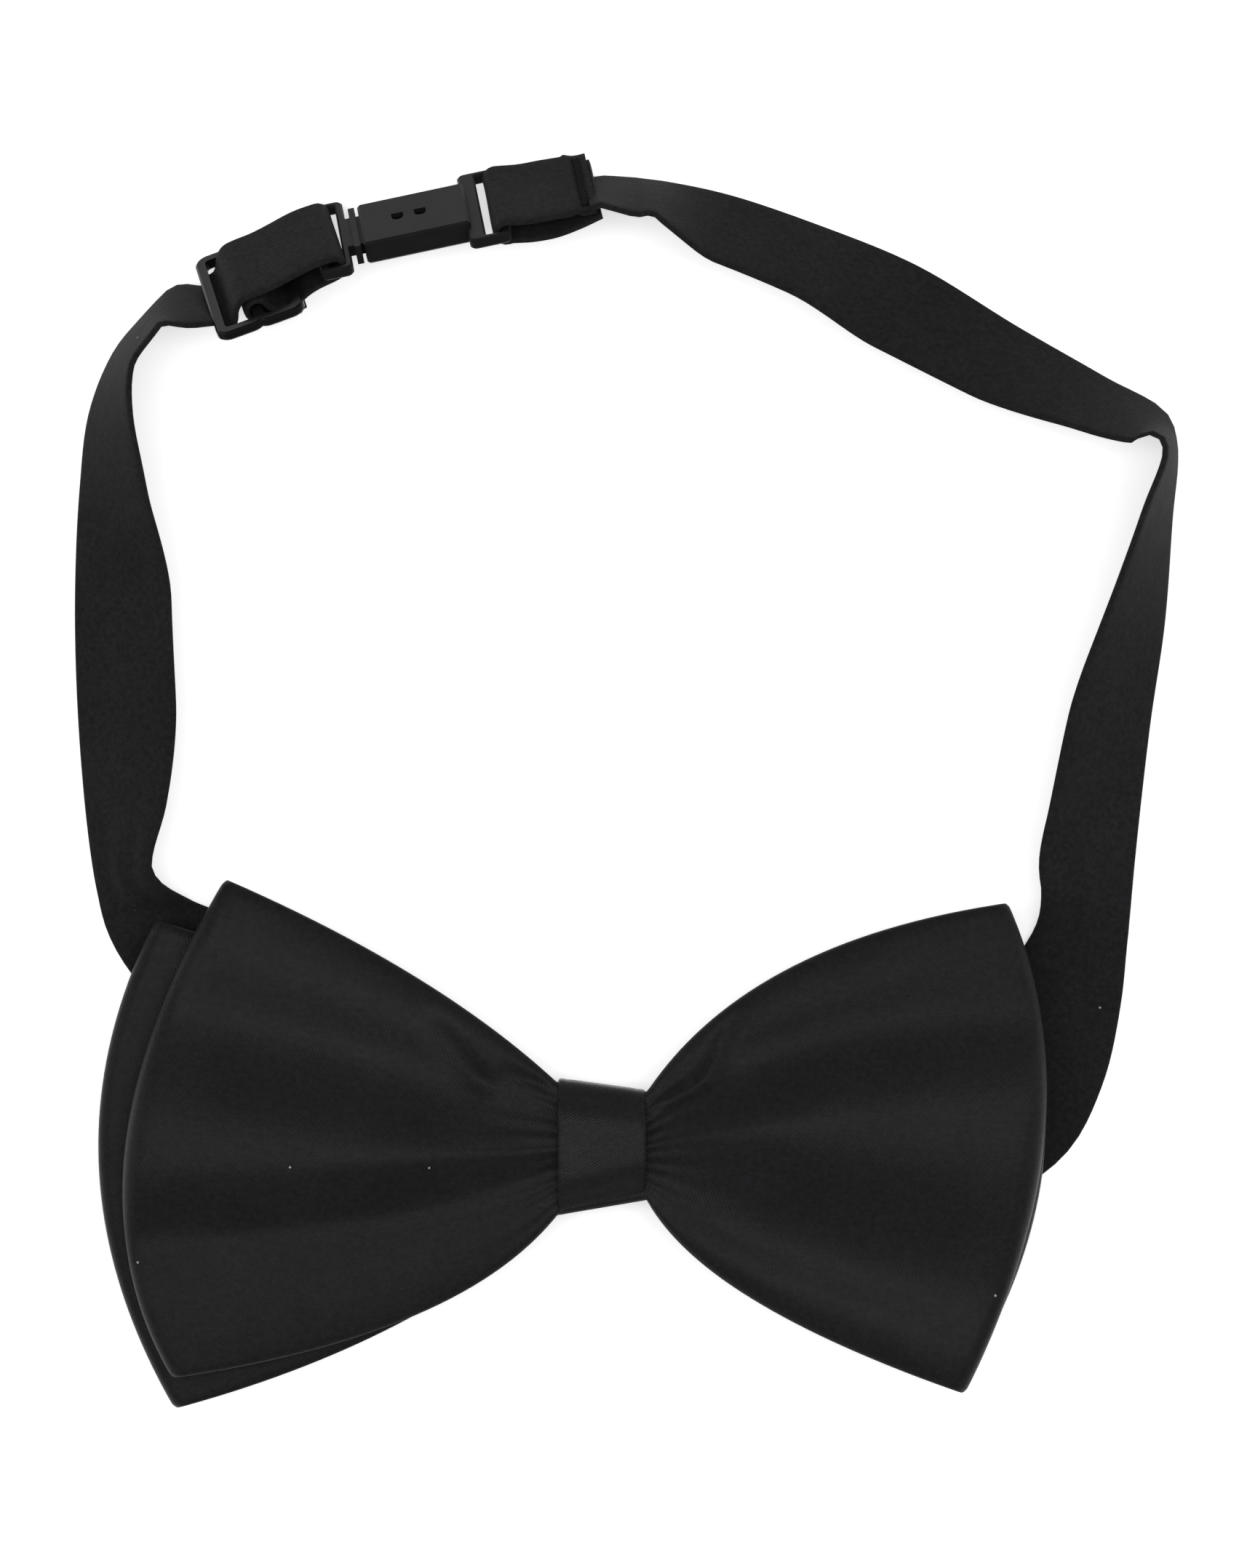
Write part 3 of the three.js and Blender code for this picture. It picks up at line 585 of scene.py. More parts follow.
def wing_plan(wing, u):
    """Plan places of all lanes of a wing at u, from 0 at the knot to 1 at the outer edge."""
    side = wing["side"]
    start = side * (KNOT["half_length"] + 0.1)
    top_root, low_root = np.array([start, PINCH_TOP[side]]), np.array([start, -PINCH_LOW[side]])
    w = ((WING_LANES + 1) / 2)[:, None]
    top = bezier(top_root, wing["top_edge"], wing["top_tip"], u)
    low = bezier(low_root, wing["low_edge"], wing["low_tip"], u)
    root = mix(low_root, top_root, w)
    outer = bezier(wing["low_tip"], wing["outer_edge"], wing["top_tip"], w[:, 0])
    tips = mix(np.array(wing["low_tip"]), np.array(wing["top_tip"]), w)
    return mix(low, top, w) + mix(root, outer, u) - mix(root, tips, u)


def lane_way(wing):
    """Plan direction in which each lane of a wing reaches its outer edge."""
    return unit(wing_plan(wing, 1.0) - wing_plan(wing, 0.95))


def pleat_profile(name, u):
    """Pleats of a wing from -1 to 1: a ridge along its middle, a slope each side, two lobes."""
    a = np.abs(WING_LANES)
    sharp = mix(0.75, 1.3, ease(u, 0.1, 1.0))
    rows = []
    for part in ("upper", "lower"):
        valley, lobe = PLEATS[name][part]
        s = np.clip(a / valley, 0, 1)
        ridge = 0.2 + 0.8 * np.cos(math.pi * s**sharp)
        rise = ease(a, valley, lobe)
        fall = np.clip((a - lobe) / (1 - lobe), 0, 1)
        crown = -0.6 + 0.22 * rise - 0.5 * fall**2.2
        rows.append(np.where(a < valley, ridge, crown))
    return np.where(WING_LANES > 0, rows[0], rows[1])


def leaf_height(leaf, name, u, plan):
    """Height of a leaf's middle at u, lane by lane: its pleats, gathers, tucks and slow waves."""
    knot, wing, pleat = LEAVES[leaf]
    height = mix(knot, wing, ease(u, 0, 0.45))
    if pleat == 0:
        return np.full(len(WING_LANES), float(height))
    depth = pleat * (0.2 + 0.8 * ease(u, 0, 0.55)) * (1 - 0.25 * ease(u, 0.8, 1))
    bent = height + depth * pleat_profile(name, u)
    if pleat > 1:
        gathers = WING_GATHER * (1 - ease(u, 0.05, 0.4)) * np.cos(11 * math.pi * WING_LANES + 0.6)
        waves = slow_waves(SEEDS["front_bow"], plan[:, 0], plan[:, 1], WAVE_LENGTH)
        bent = bent + gathers - tuck_depth(plan)
        bent = bent + WING_WAVE * ease(u, 0.1, 0.5) * waves
    return bent


def tuck_depth(plan):
    """How far the tucks by the knot press the cloth down."""
    depth = np.zeros(len(plan))
    for start, end, width, deep in TUCKS:
        a, b = np.array(start), np.array(end)
        run = b - a
        t = (plan - a) @ run / (run @ run)
        away = np.linalg.norm(plan - (a + np.clip(t, 0, 1)[:, None] * run), axis=1)
        fade = ease(t, -0.25, 0.3) * (1 - ease(t, 1.0, 1.5))
        depth += deep * np.exp(-((away / width) ** 2)) * fade
    return depth


def bow_loop(prefix, thick):
    """Middles and outward ways of a bow's loop of cloth, station by station and lane by lane."""
    back, front = f"{prefix}_back", f"{prefix}_front"
    names = {side: f"{prefix.split('_')[0]}_{side}" for side in ("left", "right")}
    count = len(WING_LANES)

    def on_leaf(side, leaf, u):
        name = names[side]
        wing = WINGS[name]
        plan = wing_plan(wing, u)
        edge = wing_plan(wing, 1.0)
        fold = leaf_height(front, name, 1.0, edge) - leaf_height(back, name, 1.0, edge)
        place = plan - lane_way(wing) * (u * u * (fold / 2 + thick / 2))[:, None]
        outward = 1.0 if leaf == front else -1.0
        middle = np.column_stack([place, leaf_height(leaf, name, u, plan)])
        return middle, np.tile([0, 0, outward], (count, 1))

    def on_fold(side, angle):
        """The cloth's turn from one leaf to the other, at an angle from level."""
        top, _ = on_leaf(side, front, 1.0)
        low, _ = on_leaf(side, back, 1.0)
        radius = (top[:, 2] - low[:, 2]) / 2
        turn = math.radians(angle)
        way = lane_way(WINGS[names[side]])
        out = np.column_stack([way * math.cos(turn), np.full(count, math.sin(turn))])
        middle = top.copy()
        middle[:, 2] = (top[:, 2] + low[:, 2]) / 2
        return middle + radius[:, None] * out, out

    def loop_end(side):
        """Where the strip's two ends nearly meet, under the knot."""
        half = sum(PINCH_TOP.values()) / 2
        middle = np.full((count, 3), float(LEAVES[back][0]))
        middle[:, 0], middle[:, 1] = side * SEAM_GAP, WING_LANES * half
        return middle, np.tile([0, 0, -1.0], (count, 1))

    rows = [loop_end(1)]
    rows += [on_leaf("right", back, u) for u in WING_STATIONS]
    rows += [on_fold("right", angle) for angle in FOLD_ANGLES]
    rows += [on_leaf("right", front, u) for u in WING_STATIONS[::-1]]
    rows += [on_leaf("left", front, u) for u in WING_STATIONS]
    rows += [on_fold("left", angle) for angle in FOLD_ANGLES[::-1]]
    rows += [on_leaf("left", back, u) for u in WING_STATIONS[::-1]]
    rows += [loop_end(-1)]
    middle, out = np.stack([r[0] for r in rows]), np.stack([r[1] for r in rows])
    return middle + np.array([KNOT["x"], KNOT["y"], 0]), out


def inset_edges(middle, margin):
    """The same strip, narrower by a margin at both edges."""
    width = np.linalg.norm(middle[:, -1] - middle[:, 0], axis=1)
    share = np.clip(2 * margin / width, 0, 0.5)[:, None]
    shrunk = WING_LANES[None] * (1 - share)
    result = np.empty_like(middle)
    for i, row in enumerate(middle):
        for axis in range(3):
            result[i, :, axis] = np.interp(shrunk[i], WING_LANES, row[:, axis])
    return result


def make_bow(cloth, prefix):
    """A bow's loop of satin, which is hollow, and the stiffener inside it."""
    sizes = (cloth.leaf_thickness, cloth.satin_wall, cloth.interlining_thickness, cloth.hem)
    thick, wall, core, hem = (size / MM for size in sizes)
    middle, out = bow_loop(prefix, thick)
    width = np.linalg.norm(middle[:, -1] - middle[:, 0], axis=1)
    along = lengths(middle[:, len(WING_LANES) // 2])
    across = WING_LANES[None] * width[:, None] / 2
    half = rounded(thick / 2, WING_LANES, width, 0.8)
    inner_half, core_half = half * (1 - 2 * wall / thick), np.full_like(half, core / 2)
    outer, uv = sections(middle, out, half, across, along)
    inner, _ = sections(inset_edges(middle, hem / 2), out, inner_half, across, along)
    points, faces = skin(np.concatenate([outer, inner[::-1]]), True)
    both_uv = np.concatenate([uv, uv[::-1]]).reshape(-1, 2)
    satin = mesh_piece(f"{prefix}_cloth", points, faces, both_uv)
    weave = material_of("black_polyester_satin", bow_satin, cloth)
    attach(dress(satin, weave, "satin", f"{prefix}_satin"), "root")
    core_rings, _ = sections(inset_edges(middle, hem), out, core_half, across, along)
    points, faces = skin(core_rings, False)
    lining = mesh_piece(f"{prefix}_stiffener", points, faces, uv.reshape(-1, 2))
    felt = material_of("needled_polyester_interlining", interlining_material, cloth)
    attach(dress(lining, felt, "interlining", f"{prefix}_interlining"), "root")


def make_bows(cloth):
    make_bow(cloth, "back_bow")
    make_bow(cloth, "front_bow")


# ---- knot


BAND_STATIONS = 120
CURVE_SAMPLES = 1600
# Line of stitching beside each edge of the band: its distance from the edge, reach and depth
BAND_GROOVE = (1.1, 0.22, 0.05)
# Depth of the band's slow dents, the distance they take, and the height above which they lie
BAND_DENT, BAND_DENT_LENGTH, BAND_DENT_FROM = 0.04, 7, 4


def knot_profile(share, inset):
    """Outline round the knot's band at a share of its length: points of (y, z), in millimetres."""
    half, facet = mix(*KNOT_HALF_HEIGHT, share), mix(*KNOT_FACET, share)
    low, high = KNOT["low"], KNOT["high"]
    slope = half - facet
    right = [
        (0, high), (facet * 0.6, high - 0.03), (facet * 0.95, high - 0.16),
        (facet + slope * 0.26, high - 0.58), (facet + slope * 0.6, high - 1.5),
        (half - 0.75, high - 2.1), (half - 0.18, high - 2.75), (half, high - 3.7),
        (half, high - 5.6), (half, low + 2.3), (half - 0.35, low + 0.95), (half - 1.2, low + 0.2),
        (half - 2.4, low), (half * 0.4, low),
    ]
    outline = right + [(0, low)] + [(-y, z) for y, z in reversed(right[1:])]
    closed = np.array(outline)
    ring = np.vstack([closed[-1], closed, closed[0], closed[1]])
    fine = np.linspace(0, 1, CURVE_SAMPLES)
    curve = centripetal(ring, fine)
    spans = len(ring) - 1
    inside = (fine >= 1 / spans) & (fine <= (spans - 1) / spans)
    curve = curve[inside]
    run = lengths(curve)
    at = np.linspace(0, run[-1], BAND_STATIONS + 1)[:-1]
    points = np.stack([np.interp(at, run, curve[:, k]) for k in range(2)], axis=-1)
    way = unit(np.roll(points, -1, axis=0) - np.roll(points, 1, axis=0))
    out = np.stack([-way[:, 1], way[:, 0]], axis=-1)
    if (out * points).sum() < 0:
        out = -out
    turn = len(points) // 2
    points = np.roll(points - out * inset, turn, axis=0) + np.array([mix(*BAND_SHIFT, share), 0])
    return points, np.roll(out, turn, axis=0), at


def make_knot(cloth):
    """The band round the knot: a strip with its edges turned in, closed behind."""
    thick = cloth.band_thickness / MM
    lanes = lanes_across(15)
    beside, reach, deep = BAND_GROOVE
    rows = []
    for lane in lanes:
        share = (lane + 1) / 2
        points, out, run = knot_profile(share, thick / 2)
        edge = (1 - abs(lane)) * KNOT["half_length"]
        half = thick / 2 * max(0.3, math.sqrt(1 - max(0, 1 - edge / 0.55) ** 2))
        groove = deep * math.exp(-(((edge - beside) / reach) ** 2))
        x = np.full(len(points), lane * (KNOT["half_length"] - 0.02))
        dents = BAND_DENT * slow_waves(SEEDS["band"], x, run, BAND_DENT_LENGTH)
        sag = dents * (points[:, 1] > BAND_DENT_FROM)
        middle = np.column_stack([x, points + out * sag[:, None]])
        outward = np.column_stack([np.zeros(len(points)), out])
        rows.append((middle, outward, half - groove, run))
    middle = np.stack([r[0] for r in rows], axis=1) + np.array([KNOT["x"], KNOT["y"], 0])
    out = np.stack([r[1] for r in rows], axis=1)
    half = np.tile(np.array([r[2] for r in rows]), (len(middle), 1))
    across = np.tile(lanes * KNOT["half_length"], (len(middle), 1))
    rings, uv = sections(middle, out, half, across, rows[0][3])
    points, faces = skin(rings, True)
    piece = mesh_piece("knot_wrap", points, faces, uv.reshape(-1, 2))
    dress(piece, material_of("stretched_knot_satin", knot_satin, cloth), "satin", "knot_band")
    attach(piece, "root")


# ---- straps


STRAP_LANES = lanes_across(13)
# Way across a strap from its lower to its upper edge, in the frame of what holds it
ACROSS = np.array([0, -1.0, 0])
# Pressed line beside each edge of a strap: its distance from the edge, reach and depth
PRESSED_LINE = (1.2, 0.3, 0.07)
# Height of the adjuster loop's sewn end under the slider
LOOP_TAIL = -2.45
# Distances from the knot between which a strap opens from its gathered to its full width
OPENS = (6, 17)
# Further out than this, a strap may be bunched
SIDE_X = 50
# Height of a strap's slow ripples, the distance that they take, and height of its gathers
RIPPLE, RIPPLE_LENGTH, GATHER = 0.10, 16, 0.7
# Steps along a strap's route, its mesh, and the mesh of a folded end
ROUTE_STEP, STRAP_STEP, FOLD_STEP = 1.6, 1.3, 0.45


def dent(x, middle, reach, depth):
    """A soft groove across x, as deep as depth at its middle."""
    return depth * np.exp(-(((x - middle) / reach) ** 2))


def route_rows(strap, cloth, end_across):
    """Centre, way across and width of a strap along its route. Over its last stretch it turns
    towards the across direction of what holds its end."""
    route, stretch = strap["route"], strap["stretch"]
    plan, t = even([(x, y, 0.0) for x, y, _, _ in route], ROUTE_STEP)
    lean = centripetal([(angle, lift, 0.0) for _, _, angle, lift in route], t)
    way = unit(np.gradient(plan, axis=0))
    roll = np.radians(np.maximum(lean[:, 0], 0))
    side = np.stack([-way[:, 1], way[:, 0], np.zeros(len(way))], axis=-1) * strap["inward"]
    across = side * np.cos(roll)[:, None]
    across[:, 2] += np.sin(roll)
    run = lengths(plan)
    turned = strap["turn"] * ease(run, run[-1] - stretch, run[-1])[:, None]
    across = unit(mix(across, end_across, turned))
    from_knot = np.abs(plan[:, 0] - KNOT["x"]) + np.maximum(plan[:, 1] - KNOT["y"], 0)
    gathered, full = cloth.strap_gathered / MM, cloth.strap_width / MM
    width = mix(gathered, full, ease(from_knot, *OPENS))
    plan[:, 2] = np.maximum(lean[:, 1], 0) + cloth.strap_thickness / MM / 2 * np.cos(roll)
    return plan + across * (width / 2)[:, None], across, width


def framed_rows(matrix, places, cloth):
    """Rows of a strap whose middle passes through places (x, y, z) in a leaning frame."""
    centre = placed(matrix, places)
    across = np.tile(matrix[:3, :3] @ ACROSS, (len(centre), 1))
    return centre, across, np.full(len(centre), cloth.strap_width / MM)


def strap_piece(name, rows, cloth, seed, face_up=False, bend=0.12, folds=None):
    """A flat tube of cloth along rows, with a pressed line beside each rounded edge and a slight
    curl, and its flat size."""
    centre, across, width = rows
    thick = cloth.strap_thickness / MM
    way = unit(np.gradient(centre, axis=0))
    across = unit(across)
    face = unit(np.cross(way, across))
    if face_up and face[:, 2].mean() < 0:
        face = -face
    lanes = STRAP_LANES
    along = lengths(centre)
    offset = lanes[None] * width[:, None] / 2
    curl = -bend * (lanes[None] ** 2)
    ripple = RIPPLE * slow_waves(seed, offset, along[:, None], RIPPLE_LENGTH)
    narrowed = (1 - width / width.max())[:, None]
    gathers = narrowed * GATHER * np.cos(2.5 * math.pi * lanes[None] + 0.4)
    lift = curl + ripple * (1 - lanes[None] ** 4) + gathers
    if folds is not None:
        lift = lift + folds(along[:, None])
    middle = centre[:, None] + across[:, None] * offset[..., None]
    middle = middle + face[:, None] * lift[..., None]
    edge = (1 - np.abs(lanes[None])) * width[:, None] / 2
    half = rounded(thick / 2, lanes, width, 0.55) - dent(edge, *PRESSED_LINE)
    out = np.broadcast_to(face[:, None], middle.shape)
    rings, uv = sections(middle, out, half, offset, along)
    points, faces = skin(rings, False)
    piece = mesh_piece(name, points, faces, uv.reshape(-1, 2))
    return piece, (cloth.strap_width, along[-1] * MM)


def make_straps(cloth):
    """The two halves of the neck strap, from inside the knot to the clasp and to the slider."""
    for name, strap in STRAPS.items():
        holder = leaning_frame(strap["held_in"])
        centre, across, width = route_rows(strap, cloth, holder[:3, :3] @ ACROSS)
        middle, reach, most = strap["bunch"]
        bunched = dent(centre[:, 1], middle, reach, most) * (np.abs(centre[:, 0]) > SIDE_X)
        centre = centre - across * (width * bunched / 2)[:, None]
        width = width * (1 - bunched)
        held_centre, held_across, held_width = framed_rows(holder, strap["ends"], cloth)
        held_across = unit(mix(held_across, np.array([0, 0, 1.0]), strap["rise"]))
        smooth_centre, t = even(np.vstack([centre, held_centre]), STRAP_STEP)
        smooth_across = unit(centripetal(np.vstack([across, held_across]), t))
        smooth_width = centripetal(np.concatenate([width, held_width])[:, None], t)[:, 0]
        rows = (smooth_centre, smooth_across, smooth_width)
        piece, flat = strap_piece(name, rows, cloth, strap["seed"], face_up=True)
        dress(piece, pressed_satin(cloth), "satin", strap["node"])
        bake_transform(piece)


def smooth_path(path):
    """A smooth line through the (x, z) points of a fold."""
    points, _ = even([(x, 0.0, z) for x, z in path], FOLD_STEP)
    return points


def make_tab(cloth):
    """The strap's end, folded round the box's ring and sewn down."""
    layer = LAYER_SPACING / 2
    path = [
        (TAB_END, -layer), (TAB_END - 3, -layer - 0.8), (TAB_END - 6, -layer - 1.3),
        (TAB_START + 3, -layer - 1.2), *arc(TAB_START, 0, WRAP_RADIUS, -75, -285, 10),
        (TAB_START + 3, layer + 0.35), (TAB_END - 6, layer + 0.25), (TAB_END - 2, layer),
        (TAB_END - 0.4, layer - 0.1),
    ]
    rows = framed_rows(CLASP_FRAME, smooth_path(path), cloth)
    run = lengths(rows[0])[-1]

    def seam(along):
        """A pressed line where the end is turned under and sewn, and the swell past it."""
        return dent(along, run - 1.2, 0.8, 0.12) - dent(along, run - 2.6, 0.35, 0.28)

    piece, flat = strap_piece("strap_end_fold", rows, cloth, SEEDS["tab"], bend=0.03, folds=seam)
    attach(dress(piece, pressed_satin(cloth), "satin", "strap_end_tab"), "box_half")


def make_adjuster_loop(cloth):
    """The strap's other end: over the slider, round the hook's ring and back, and round the
    slider's middle bar to its tack."""
    to_slider = np.linalg.inv(SLIDER_FRAME)
    ring = placed(to_slider, placed(CLASP_FRAME, [(HOOK_FAR_BAR, 0, 0)]))[0]
    ring_across = to_slider[:3, :3] @ CLASP_FRAME[:3, :3] @ (ACROSS + np.array([0.07, 0, 0]))
    over = GLIDE_WRAP_RADIUS + cloth.strap_thickness / MM + 0.05
    path = [
        (LEFT_BAR + SEAM_GAP / 2, UNDER_BAR), (-3.7, -1.05), (-3.0, -0.2), (-2.5, 1.0),
        (-1.5, 1.95), (0, over), (2.6, over), (5.6, over - 0.1),
        *arc(ring[0] + 0.7, ring[2], WRAP_RADIUS, 100, -80, 6),
        (6.9, -1.0), (5.1, UNDER_BAR - 0.05), (3.6, -1.1), (2.1, -0.6),
        *arc(0, 0, GLIDE_WRAP_RADIUS, 0, 225, 8),
        (-0.3, -1.8), (1.2, -2.3), (4.0, LOOP_TAIL), (5.9, LOOP_TAIL + 0.05),
    ]
    places = smooth_path(path)
    share = ease(places[:, 0], 1, ring[0] - 1)
    places[:, 1] = ring[1] * share
    across = unit(mix(ACROSS, ring_across, share[:, None])) @ SLIDER_FRAME[:3, :3].T
    rows = (placed(SLIDER_FRAME, places), across, np.full(len(places), cloth.strap_width / MM))
    piece, flat = strap_piece("adjuster_strap_loop", rows, cloth, SEEDS["loop"], bend=0.02)
    dress(piece, pressed_satin(cloth), "satin", "adjuster_loop")
    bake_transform(piece)


def make_strap_folds(cloth):
    make_tab(cloth)
    make_adjuster_loop(cloth)


# ---- threads


THREAD_SIDES = 8
# Turns of the binding thread, and how far each lies from the one before
BINDING_TURNS, BINDING_PITCH = 3, 0.6


def tube_piece(name, path, radius, step):
    """A round thread along a smooth line through points."""
    points, _ = even(path, step)
    way = unit(np.gradient(points, axis=0))
    side = unit(np.cross(way[0], [0.3, 0.2, 1.0]))
    angles = np.linspace(0, 2 * math.pi, THREAD_SIDES + 1)[:-1]
    rings, uv = [], []
    run = lengths(points)
    for point, direction, at in zip(points, way, run):
        side = unit(side - direction * (side @ direction))
        other = np.cross(direction, side)
        rings.append([point + radius * (math.cos(a) * side + math.sin(a) * other) for a in angles])
        uv.append([(radius * a, at) for a in angles])
    loops, faces = skin(np.array(rings), False)
    return mesh_piece(name, loops, faces, np.array(uv).reshape(-1, 2))


def zigzag(matrix, start, end, reach, turns):
    """Points of a bar tack from start to end, crossing by reach at each turn."""
    t = np.linspace(0, 1, turns + 1)[:, None]
    side = np.where(np.arange(turns + 1) % 2, 1.0, -1.0)[:, None]
    points = mix(np.array(start, float), np.array(end, float), t) + side * np.array(reach, float)
    ends = np.repeat(points, 2, axis=0)
    ends[::2, 2] -= 0.12
    return placed(matrix, ends[1:])


def make_threads(cloth):
    """Bar tacks on the strap's two ends, stitches behind the knot, and its binding thread."""
    spun = material_of("black_spun_thread", thread_material, cloth)
    radius = cloth.thread_diameter / MM / 2
    strap = cloth.strap_thickness / MM
    knot_frame = np.array(Matrix.Translation((KNOT["x"], KNOT["y"], 0)))
    tab_height = LAYER_SPACING / 2 + strap / 2 + 0.12
    loop_height = LOOP_TAIL - strap / 2 - 0.2
    behind = KNOT["low"] - 0.2
    tacks = [
        ("tab_tack", "tab_bar_tack", "box_half", CLASP_FRAME,
         (TAB_END - 1.7, -6, tab_height), (TAB_END - 1.7, 6, tab_height), (0.45, 0, 0), 42),
        ("loop_tack", "adjuster_bar_tack", "slider_body", SLIDER_FRAME,
         (4.4, -6, loop_height), (4.4, 6, loop_height), (0.7, 0, 0), 42),
        ("knot_stitches", "band_closing_stitches", "root", knot_frame,
         (-4.4, 0, behind), (4.4, 0, behind), (0, 0.9, 0), 17),
    ]
    for name, node, body, matrix, start, end, reach, turns in tacks:
        piece = tube_piece(name, zigzag(matrix, start, end, reach, turns), radius, 0.25)
        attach(dress(piece, spun, "thread", node), body)
    low, high = LEAVES["back_bow_back"][0] - 0.85, LEAVES["front_bow_front"][0] + 1.05
    top = [(5.9, low), (5.9, high - 1.2), (3.2, high - 0.1), (0, high)]
    corners = top + [(-y, z) for y, z in reversed(top[:3])] + [(0, low)]
    path = []
    for i in range(BINDING_TURNS * len(corners)):
        turn = i / len(corners) - BINDING_TURNS / 2
        path.append((turn * BINDING_PITCH, *corners[i % len(corners)]))
    piece = tube_piece("knot_binding", placed(knot_frame, path), radius, 0.4)
    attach(dress(piece, spun, "thread", "centre_binding_thread"), "root")


# ---- plastic


MERGE_WITHIN = 0.002
# Degrees: faces this nearly level with each other merge, edges sharper than this are rounded,
# and edges blunter than this are shaded smooth
FLAT_WITHIN, EDGE_ANGLE, SMOOTH_ANGLE = 1.0, 38, 35


def moulded_piece(node, name, edge, material, slot, body):
    """A copy of a CAD part with its mesh merged and its edges rounded as a mould leaves them."""
    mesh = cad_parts[node].data.copy()
    mesh.name = name
    piece = bpy.data.objects.new(name, mesh)
    bpy.context.scene.collection.objects.link(piece)
    alone(piece)
    bpy.ops.mesh.customdata_custom_splitnormals_clear()
    bpy.ops.object.mode_set(mode="EDIT")
    bpy.ops.mesh.select_all(action="SELECT")
    bpy.ops.mesh.remove_doubles(threshold=MERGE_WITHIN * MM)
    bpy.ops.mesh.dissolve_limited(angle_limit=math.radians(FLAT_WITHIN))
    bpy.ops.object.mode_set(mode="OBJECT")
    bevel = piece.modifiers.new("rounded_edges", "BEVEL")
    bevel.width = edge
    bevel.segments = 2
    bevel.limit_method = "ANGLE"
    bevel.angle_limit = math.radians(EDGE_ANGLE)
    bevel.use_clamp_overlap = True
    bpy.ops.object.modifier_apply(modifier=bevel.name)
    bpy.ops.object.shade_smooth_by_angle(angle=math.radians(SMOOTH_ANGLE))
    flat = piece.modifiers.new("flat_faces", "WEIGHTED_NORMAL")
    flat.keep_sharp = True
    flat.weight = 80
    bpy.ops.object.modifier_apply(modifier=flat.name)
    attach(dress(piece, material, slot, node), body)


def make_hardware(hardware):
    """The clasp's two halves and the slider."""
    acetal = material_of("satin_moulded_acetal", clasp_material, hardware)
    nylon = material_of("polished_moulded_nylon", slider_material, hardware)
    edge = hardware.edge_radius
    moulded_piece("clasp_box", "clasp_box_half", edge, acetal, "clasp_plastic", "box_half")
    moulded_piece("clasp_hook", "clasp_hook_half", edge, acetal, "clasp_plastic", "root")
    moulded_piece("slider", "slider_body_piece", edge, nylon, "gloss_plastic", "slider_body")


# ---- stage


FLOOR_SIZE = 6
SENSOR_WIDTH = 36
# Soft lights in metres: their name, place, size, and the setting that holds their power
LIGHTS = [
    ("overhead_light", (0, 0, 1.5), (1.9, 0.5), "overhead_power"),
    ("left_light", (-1.2, 0.1, 0.6), (0.9, 0.9), "side_power"),
    ("right_light", (1.2, 0.1, 0.6), (0.9, 0.9), "side_power"),
]


def make_stage(stage):
    """The floor, the lights and the camera."""
    scene = bpy.context.scene
    bpy.ops.object.select_all(action="DESELECT")
    bpy.ops.mesh.primitive_plane_add(size=FLOOR_SIZE, location=(0, 0, -0.05 * MM))
    floor = bpy.context.object
    floor.name = "floor"
    floor.data.materials.append(floor_material(stage))
    bpy.ops.object.transform_apply(location=True, rotation=False, scale=False)

    for name, place, size, power in LIGHTS:
        data = bpy.data.lights.new(name, "AREA")
        data.shape, data.size, data.size_y = "RECTANGLE", *size
        data.energy = getattr(stage, power)
        light = bpy.data.objects.new(name, data)
        scene.collection.objects.link(light)
        light.location = place
        light.rotation_euler = (-Vector(place)).to_track_quat("-Z", "Y").to_euler()
    world = bpy.data.worlds.new("white_surround")
    world.use_nodes = True
    background = world.node_tree.nodes["Background"]
    background.inputs["Color"].default_value = (1, 1, 1, 1)
    background.inputs["Strength"].default_value = stage.surround
    scene.world = world
    scene.view_settings.view_transform = "Standard"

    data = bpy.data.cameras.new("camera")
    data.sensor_width = SENSOR_WIDTH
    data.lens = SENSOR_WIDTH * stage.camera_height / stage.view_height
    data.clip_end = 10
    camera = bpy.data.objects.new("camera", data)
    scene.collection.objects.link(camera)
    camera.location = row_point(0, 0, stage.camera_height / MM)
    scene.camera = camera


# ---- settings


def colour_field(name, description, hex_colour):
    return bpy.props.FloatVectorProperty(
        name=name, description=description, subtype="COLOR", size=4, min=0, max=1,
        default=linear(hex_colour),
    )


def length_field(name, description, low, high, default):
    """A length in metres."""
    return bpy.props.FloatProperty(
        name=name, description=description, unit="LENGTH", precision=5, min=low, max=high,
        default=default,
    )


def amount_field(name, description, high, default, low=0, **kind):
    return bpy.props.FloatProperty(
        name=name, description=description, min=low, max=high, default=default, **kind
    )


